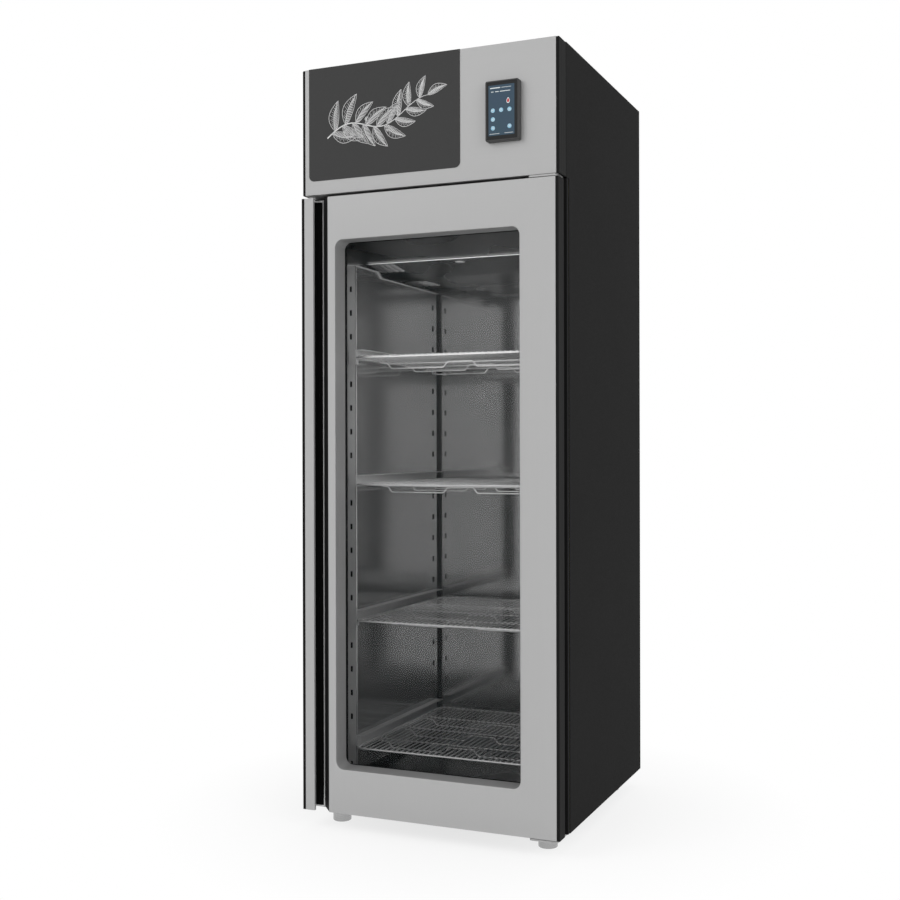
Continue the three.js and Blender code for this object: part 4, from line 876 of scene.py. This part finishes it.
def buildRack(name, side):
    r = rack
    sides, (front, rear), (low, high) = span(f"rack_panel_{name}")
    outer = max(abs(x) for x in sides)
    face, sheet, floor = r["face"], r["sheet"], low + r["lift"]
    lowTop, stepEnd, footDepth = high - r["step"], r["stepStart"] + r["stepRun"], r["footDepth"]
    levels = [r["firstSlot"]]
    while levels[-1] + r["slotPitch"] < r["lastSlot"]:
        levels.append(levels[-1] + r["slotPitch"])

    def about(middle, width):
        return middle - width / 2, middle + width / 2

    def slots(middle, width):
        return [boxLoop(about(middle, width), about(z, r["slotHeight"])) for z in levels]

    def across(near, far):
        return side * near, side * far

    def plate(bm, near, far, depths, heights):
        addPrism(bm, "xy", [boxLoop(sorted(across(near, far)), depths)], heights)

    def finished(kind, bm, material, slot="mirror_stainless", replaces=None, smooth=35):
        finishPiece(kind + name.title(), bm, material, slot, replaces, smooth=smooth)

    sheets, doubled, folds, edges, shadeSheets = (bmesh.new() for _ in range(5))
    web = [(front, low), (front + footDepth, low), (front + footDepth, floor), (rear - footDepth, floor),
           (rear - footDepth, low), (rear, low), (rear, lowTop), (stepEnd, lowTop), (r["stepStart"], high),
           (front, high)]
    pins = [circleLoop(front + r["pinInset"], floor + share * (high - floor), r["pinRadius"], 16)
            for share in r["pinShares"]]
    faceSlots = slots(rear - r["rearInset"], r["faceSlot"])
    addPrism(sheets, "yz", [web, *faceSlots, *pins], across(face, face + sheet))
    plate(sheets, face + sheet, outer, (rear - sheet, rear), (low, lowTop))
    finished("rack", sheets, "annealedSteelRack", replaces=f"rack_panel_{name}")

    strip = boxLoop((rear - r["strip"], rear - sheet), (floor, lowTop - sheet))
    addPrism(doubled, "yz", [strip, *faceSlots], across(face - r["stripProud"], face))
    finished("rackStrip", doubled, "annealedSteelRack")

    foldMiddle = side * (face + r["foldInset"])
    fold = boxLoop(sorted(across(face, face + r["fold"])), (low, high))
    addPrism(folds, "xz", [fold, *slots(foldMiddle, r["foldSlot"])], (front, front + sheet))
    lip = [(front, high), (r["stepStart"], high), (stepEnd, lowTop), (rear, lowTop)]
    addPrism(folds, "yz", [lip + [(y, z - sheet) for y, z in reversed(lip)]], across(face - r["lip"], face))
    # the folds take the lighter pressed steel, whose light shades are painted light
    finished("rackFolds", folds, "pressedSteel")

    addBar(edges, [(side * face, front + r["rollDepth"], z) for z in (floor, high)], r["roll"], 12)
    lipEdge = side * (face - r["lip"] + r["lipRoll"])
    addBar(edges, [(lipEdge, y, z - sheet / 2) for y, z in lip], r["lipRoll"], 8)
    finished("rackRolls", edges, "chromedWire", smooth=50)

    # painted shade: black sheets behind the slots and across the gap to the rear wall
    near, far = sheet, sheet + r["tapeSheet"]
    addPrism(shadeSheets, "xz", [boxLoop(about(foldMiddle, r["tape"]), (floor, lowTop))], (front + near, front + far))
    addPrism(shadeSheets, "yz", [boxLoop(about(rear - r["rearInset"], r["tape"]), (floor, lowTop))],
             across(face + near, face + far))
    gap = face + r["gapInset"]
    plate(shadeSheets, gap, gap + r["tape"] / 2, (rear, span("liner_rear")[1][0] + r["wallInset"]), (low, lowTop))
    finished("slotTape", shadeSheets, "extrudedPvc", "rubber")


# Ceiling tray: its underside as (depth, height), louvres pressed out of its air vents, and a round sensor cap and a
# blind plug, each with its place across, its depth, its radius and how far it stands out
tray = {
    "folds": ((100, 1611), (303, 1584), (485, 1560), (727.7, 1560)), "spans": ((312, 397.6), (545.8, 657.6)),
    "across": (242, 322), "rows": 4, "columns": 10, "louvre": 1.7, "height": 1.2, "bedded": 0.4,
    "cap": (-41.5, 339, 14.5, 2.2), "plug": (-277.7, 121.3, 5.4, 8.0),
    "turned": ((1.0, 0.5), (0.93, 0.85), (0.8, 1.0), (0.3, 1.0)),
}


def trayUnderside(y):
    for (y0, z0), (y1, z1) in zip(tray["folds"], tray["folds"][1:]):
        if y <= y1:
            return z0 + (z1 - z0) * (y - y0) / (y1 - y0)
    return tray["folds"][-1][1]


def buildTray():
    bm = bmesh.new()
    x0, x1 = tray["across"]
    rows, columns = tray["rows"], tray["columns"]
    pitch = (x1 - x0) / rows
    places = [(side, y0 + (y1 - y0) * (column + 0.5) / columns, x0 + pitch * row)
              for side in (-1, 1) for y0, y1 in tray["spans"] for row in range(rows) for column in range(columns)]
    for side, y, start in places:
        a, b = start + pitch * 0.12, start + pitch * 0.88
        z = trayUnderside(y) - tray["bedded"]
        low = z - tray["height"]
        line = [(a, z), (a * 0.7 + b * 0.3, low), (a * 0.3 + b * 0.7, low), (b, z)]
        addBar(bm, [(side * x, y, height) for x, height in line], tray["louvre"], 6)
    finishPiece("ventLouvres", bm, "chromedWire", "mirror_stainless", smooth=50)
    for name, material, (x, y, radius, reach) in (("sensorCap", "pressedSteel", tray["cap"]),
                                                  ("blindPlug", "mouldedAbsBlack", tray["plug"])):
        small = bmesh.new()
        profile = [(radius, -0.6)] + [(radius * wide, reach * far) for wide, far in tray["turned"]]
        addTurned(small, (x, y, trayUnderside(y)), (0, 0, -1), profile, 32)
        finishPiece(name, small, material, "mirror_stainless")


# Glazing spacer: a hollow bar round the edge of the two panes, bedded in black sealant
spacer = {"width": 9, "corner": 6}


def buildSpacer():
    across, deep, up = span("glazing_spacer")
    width, corner = spacer["width"], spacer["corner"]
    loops = [roundedLoop(inset(across, w), inset(up, w), corner + width - w, 6) for w in (0, width)]
    prismPiece("spacerBar", "xz", loops, deep, "extrudedPvc", "black_plastic", "glazing_spacer", "door")


# Light strip: an opal profile with rounded edges and steel end clips
lightStrip = {"top": 1.8, "height": 1.4, "trim": 1.5, "endClip": 8, "round": 0.6}


def buildLightStrip():
    across, deep, up = span("led_light_bar")
    s = lightStrip
    top = up[1] - s["top"]
    outline = roundedLoop(inset(deep, s["trim"]), (top - s["height"], top), s["round"], 4)
    ends = inset(across, s["endClip"])
    prismPiece("lightStrip", "yz", [outline], ends, "opalAcrylic", "light", "led_light_bar")
    clips = bmesh.new()
    for clip in ((across[0], ends[0]), (ends[1], across[1])):
        addPrism(clips, "yz", [outline], clip)
    finishPiece("lightStripEnds", clips, "pressedSteel", "light")


# Fans: twisted blades between a domed hub and an outer ring. "middle" is where the axle stands across the cabinet.
fans = {
    "condenser_fan": {"blades": 7, "sweep": 0.62, "middle": -120, "bore": 4.6},
    "evaporator_fan": {"blades": 6, "sweep": 0.72, "middle": 120, "bore": 3.2},
}
fanBlade = {"steps": 7, "thickness": 1.4, "tilt": (38, 18), "taper": (0.7, 0.3), "lean": 0.25, "crown": 1.6,
            "pitch": 0.85, "hub": 0.3, "root": 0.9, "end": 0.955, "ring": (0.999, 0.94), "ringDepth": 0.5}


def buildFan(node):
    fan, shape = fans[node], fanBlade
    _, deep, up = span(node)
    x, y, z = fan["middle"], sum(deep) / 2, sum(up) / 2
    radius, half, bore = (up[1] - up[0]) / 2, (deep[1] - deep[0]) / 2, fan["bore"]
    hub, thick, steps = radius * shape["hub"], shape["thickness"], shape["steps"]
    root, end = hub * shape["root"], radius * shape["end"]
    blades, ring = bmesh.new(), bmesh.new()

    # one point of a blade, from the hub outward and from its leading to its trailing edge
    def bladePoint(start, share, chord):
        r = root + (end - root) * share
        arc = fan["sweep"] * (shape["taper"][0] + shape["taper"][1] * share)
        tilt = math.radians(shape["tilt"][0] - shape["tilt"][1] * share)
        depth = -chord * arc * r * math.tan(tilt) * shape["pitch"] + shape["crown"] * (1 - (2 * chord) ** 2)
        return r, start + shape["lean"] * share + chord * arc, max(thick - half, min(half - thick, depth))

    border = [(i, 0) for i in range(steps)] + [(steps, k) for k in range(steps)]
    border += [(i, steps) for i in range(steps, 0, -1)] + [(0, k) for k in range(steps, 0, -1)]
    for blade in range(fan["blades"]):
        start = 2 * math.pi * blade / fan["blades"]
        grid = [[bladePoint(start, i / steps, k / steps - 0.5) for k in range(steps + 1)] for i in range(steps + 1)]
        near, far = ([[blades.verts.new(at(x + r * math.cos(a), y + d + offset, z + r * math.sin(a)))
                       for r, a, d in row] for row in grid] for offset in (-thick / 2, thick / 2))
        for i in range(steps):
            for k in range(steps):
                blades.faces.new((near[i][k], near[i + 1][k], near[i + 1][k + 1], near[i][k + 1]))
                blades.faces.new((far[i][k], far[i][k + 1], far[i + 1][k + 1], far[i + 1][k]))
        for (i, k), (m, n) in zip(border, border[1:] + border[:1]):
            blades.faces.new((near[i][k], near[m][n], far[m][n], far[i][k]))
    outer, inner = (radius * share for share in shape["ring"])
    rim = half * shape["ringDepth"]
    hoop = [(outer, -rim), (outer, rim), (inner, rim), (inner, -rim)]
    dome = [(hub, -half + 3), (hub, half), (bore + 2, half), (bore + 2, -half), (hub * 0.7, -half),
            (hub * 0.93, -half + 1.2)]
    for profile, sides in ((hoop, 64), (dome, 40)):
        addRings(ring, [[at(a, y + d, b) for a, b in circleLoop(x, z, r, sides)] for r, d in profile])
    name = node.split("_")[0]
    finishPiece(f"{name}FanBlades", blades, "mouldedAbsBlack", "black_plastic", node, node, smooth=60)
    finishPiece(f"{name}FanRing", ring, "mouldedAbsBlack", "black_plastic", body=node)


# Hermetic compressor: a drawn steel pot and lid with a weld seam, on a plate with four feet. "pot" and
# "lid" are (share of the radius, height above the pot's foot or below the lid's top).
compressor = {
    "margin": 2.6, "lift": 10, "seam": 0.56, "seamGrow": 2.5, "pot": ((0.5, 0), (0.8, 2), (0.93, 9), (0.97, 22)),
    "lid": ((0.97, 34), (0.9, 17), (0.74, 6), (0.5, 1.2), (0.2, 0)), "plate": (5, 8), "plateHalf": 50,
    "plateInset": 2, "plateCorner": 12, "seamRun": (5, 3), "lidStart": 0.985, "footInset": 16, "footHalf": 36,
    "foot": ((9, 0), (9, 4.6), (7, 5)), "bolt": (7, 4),
}


def buildCompressor():
    c = compressor
    across, deep, up = span("compressor")
    x, y, base = sum(across) / 2, sum(deep) / 2, up[0]
    radius, tall = (deep[1] - deep[0]) / 2 - c["margin"], up[1] - base - c["lift"]
    seam, proud = tall * c["seam"], radius + c["seamGrow"]
    profile = [(radius * share, z) for share, z in c["pot"]]
    far, near = c["seamRun"]
    profile += [(radius, seam - far), (proud, seam - near), (proud, seam + near),
                (radius * c["lidStart"], seam + far)]
    profile += [(radius * share, tall - z) for share, z in c["lid"]]
    pot, mount = bmesh.new(), bmesh.new()
    addTurned(pot, (x, y, base + c["lift"]), (0, 0, 1), profile, 56)
    finishPiece("compressorPot", pot, "powderCoatedSteel", "black_steel", "compressor", smooth=50)
    low, high = c["plate"]
    half, footHalf = c["plateHalf"], c["footHalf"]
    outline = roundedLoop(inset(across, c["plateInset"]), (y - half, y + half), c["plateCorner"], 5)
    addPrism(mount, "xy", [outline], (base + low, base + high))
    for footX in inset(across, c["footInset"]):
        for footY in (y - footHalf, y + footHalf):
            addTurned(mount, (footX, footY, base), (0, 0, 1), c["foot"], 24)
            addScrew(mount, (footX, footY, base + high), (0, 0, 1), *c["bolt"])
    finishPiece("compressorMount", mount, "galvanisedSheet", "black_steel")


# Heat exchangers: a stack of thin fins on round tubes with hairpin bends at both ends. Each has its count of fins
# and of tube rows.
coils = {"condenser_coil": (60, 8), "evaporator_coil": (80, 3)}
coil = {"inset": 14, "fin": 0.35, "finMargins": (3, 2), "endPlate": (1.0, 2.5), "passes": 3, "tube": 4.5,
        "tubeMargin": 3, "tail": 6, "bend": 12}


def buildCoil(node):
    c = coil
    fins, rows = coils[node]
    across, deep, up = span(node)
    first, last = inset(across, c["inset"])
    finDeep, (low, high) = inset(deep, c["finMargins"][0]), inset(up, c["finMargins"][1])
    near, far = c["endPlate"]
    bm = bmesh.new()
    for i in range(fins):
        x = first + (last - first) * i / (fins - 1)
        addPrism(bm, "yz", [boxLoop(finDeep, (low, high))], (x - c["fin"], x + c["fin"]))
    for ends in ((first - far, first - near), (last + near, last + far)):
        addPrism(bm, "yz", [boxLoop(deep, up)], ends)
    ys = [deep[0] + (deep[1] - deep[0]) * (k + 0.5) / c["passes"] for k in range(c["passes"])]
    left, right = inset(across, c["tube"] + c["tubeMargin"])
    run = [(left + c["tail"], ys[0]), (right, ys[0]), (right, ys[1]), (left, ys[1]), (left, ys[2]),
           (right - c["tail"], ys[2])]
    for row in range(rows):
        z = low + (high - low) * (row + 0.5) / rows
        addBar(bm, eased([(x, y, z) for x, y in run], c["bend"]), c["tube"], 8)
    finishPiece(f"{camel(node)}Stack", bm, "galvanisedSheet", "galvanised", node, smooth=50)


# Cable gland: a hexagon nut and a dome that narrows to the cable's hole, as shares of its radius and length
gland = {
    "nut": ((0.9, 0.0), (0.99, 0.42), (0.9, 0.5)), "nutEdge": 0.8, "domeStart": 0.45,
    "dome": ((0.8, 0), (0.8, 0.2), (0.72, 0.42), (0.55, 0.54), (0.4, 0.55), (0.38, 0.2)),
}


def buildGland():
    across, (start, end), up = span("cable_gland")
    x, z, radius, reach = sum(across) / 2, sum(up) / 2, (across[1] - across[0]) / 2, end - start
    nut, dome = ([(radius * wide, reach * far) for wide, far in gland[part]] for part in ("nut", "dome"))
    nut.insert(1, (nut[1][0], gland["nutEdge"]))
    bm = bmesh.new()
    addTurned(bm, (x, start, z), (0, 1, 0), nut, 6)
    addTurned(bm, (x, start + reach * gland["domeStart"], z), (0, 1, 0), dome, 40)
    finishPiece("glandNut", bm, "mouldedAbsBlack", "rubber", "cable_gland")


# Screws that hold the rear panel and its side flanges, and the top cover
fixings = {"radius": 4.6, "height": 2.4, "rearAcross": (-355, -178, 0, 178, 355), "topHeight": 0.9,
           "rearUp": (70, 480, 900, 1320, 1716, 2050), "crossRows": (70, 1716, 2050),
           "topAcross": (-320, -110, 110, 320), "topDepths": (86, 430, 770)}


def buildFixings():
    bm = bmesh.new()
    rear, flange, top = span("rear_panel")[1][1], span("side_panel_left")[1][1], span("top_cover")[2][1]
    columns = fixings["rearAcross"]
    for x in columns:
        outer = x in (columns[0], columns[-1])
        for z in fixings["rearUp"] if outer else fixings["crossRows"]:
            addScrew(bm, (x, flange if outer else rear, z), (0, 1, 0), fixings["radius"], fixings["height"])
    for x in fixings["topAcross"]:
        for y in fixings["topDepths"]:
            addScrew(bm, (x, y, top), (0, 0, 1), fixings["radius"], fixings["topHeight"])
    finishPiece("panelScrews", bm, "chromedWire", "galvanised")


for build in (buildHeader, buildArtPanel, buildDisplay):
    build()
for node in ("foot_front_left", "foot_front_right", "foot_rear_left", "foot_rear_right"):
    buildFoot(node)
for node in ("hinge_plate_top", "hinge_plate_bottom"):
    buildHinge(node)
for build in (buildHandle, buildGasket, buildSpacer, buildTray, buildLightStrip, buildCompressor, buildGland,
              buildFixings):
    build()
for name, side in (("left", -1), ("right", 1)):
    buildRack(name, side)
for node in fans:
    buildFan(node)
for node in coils:
    buildCoil(node)
print("all pieces made")
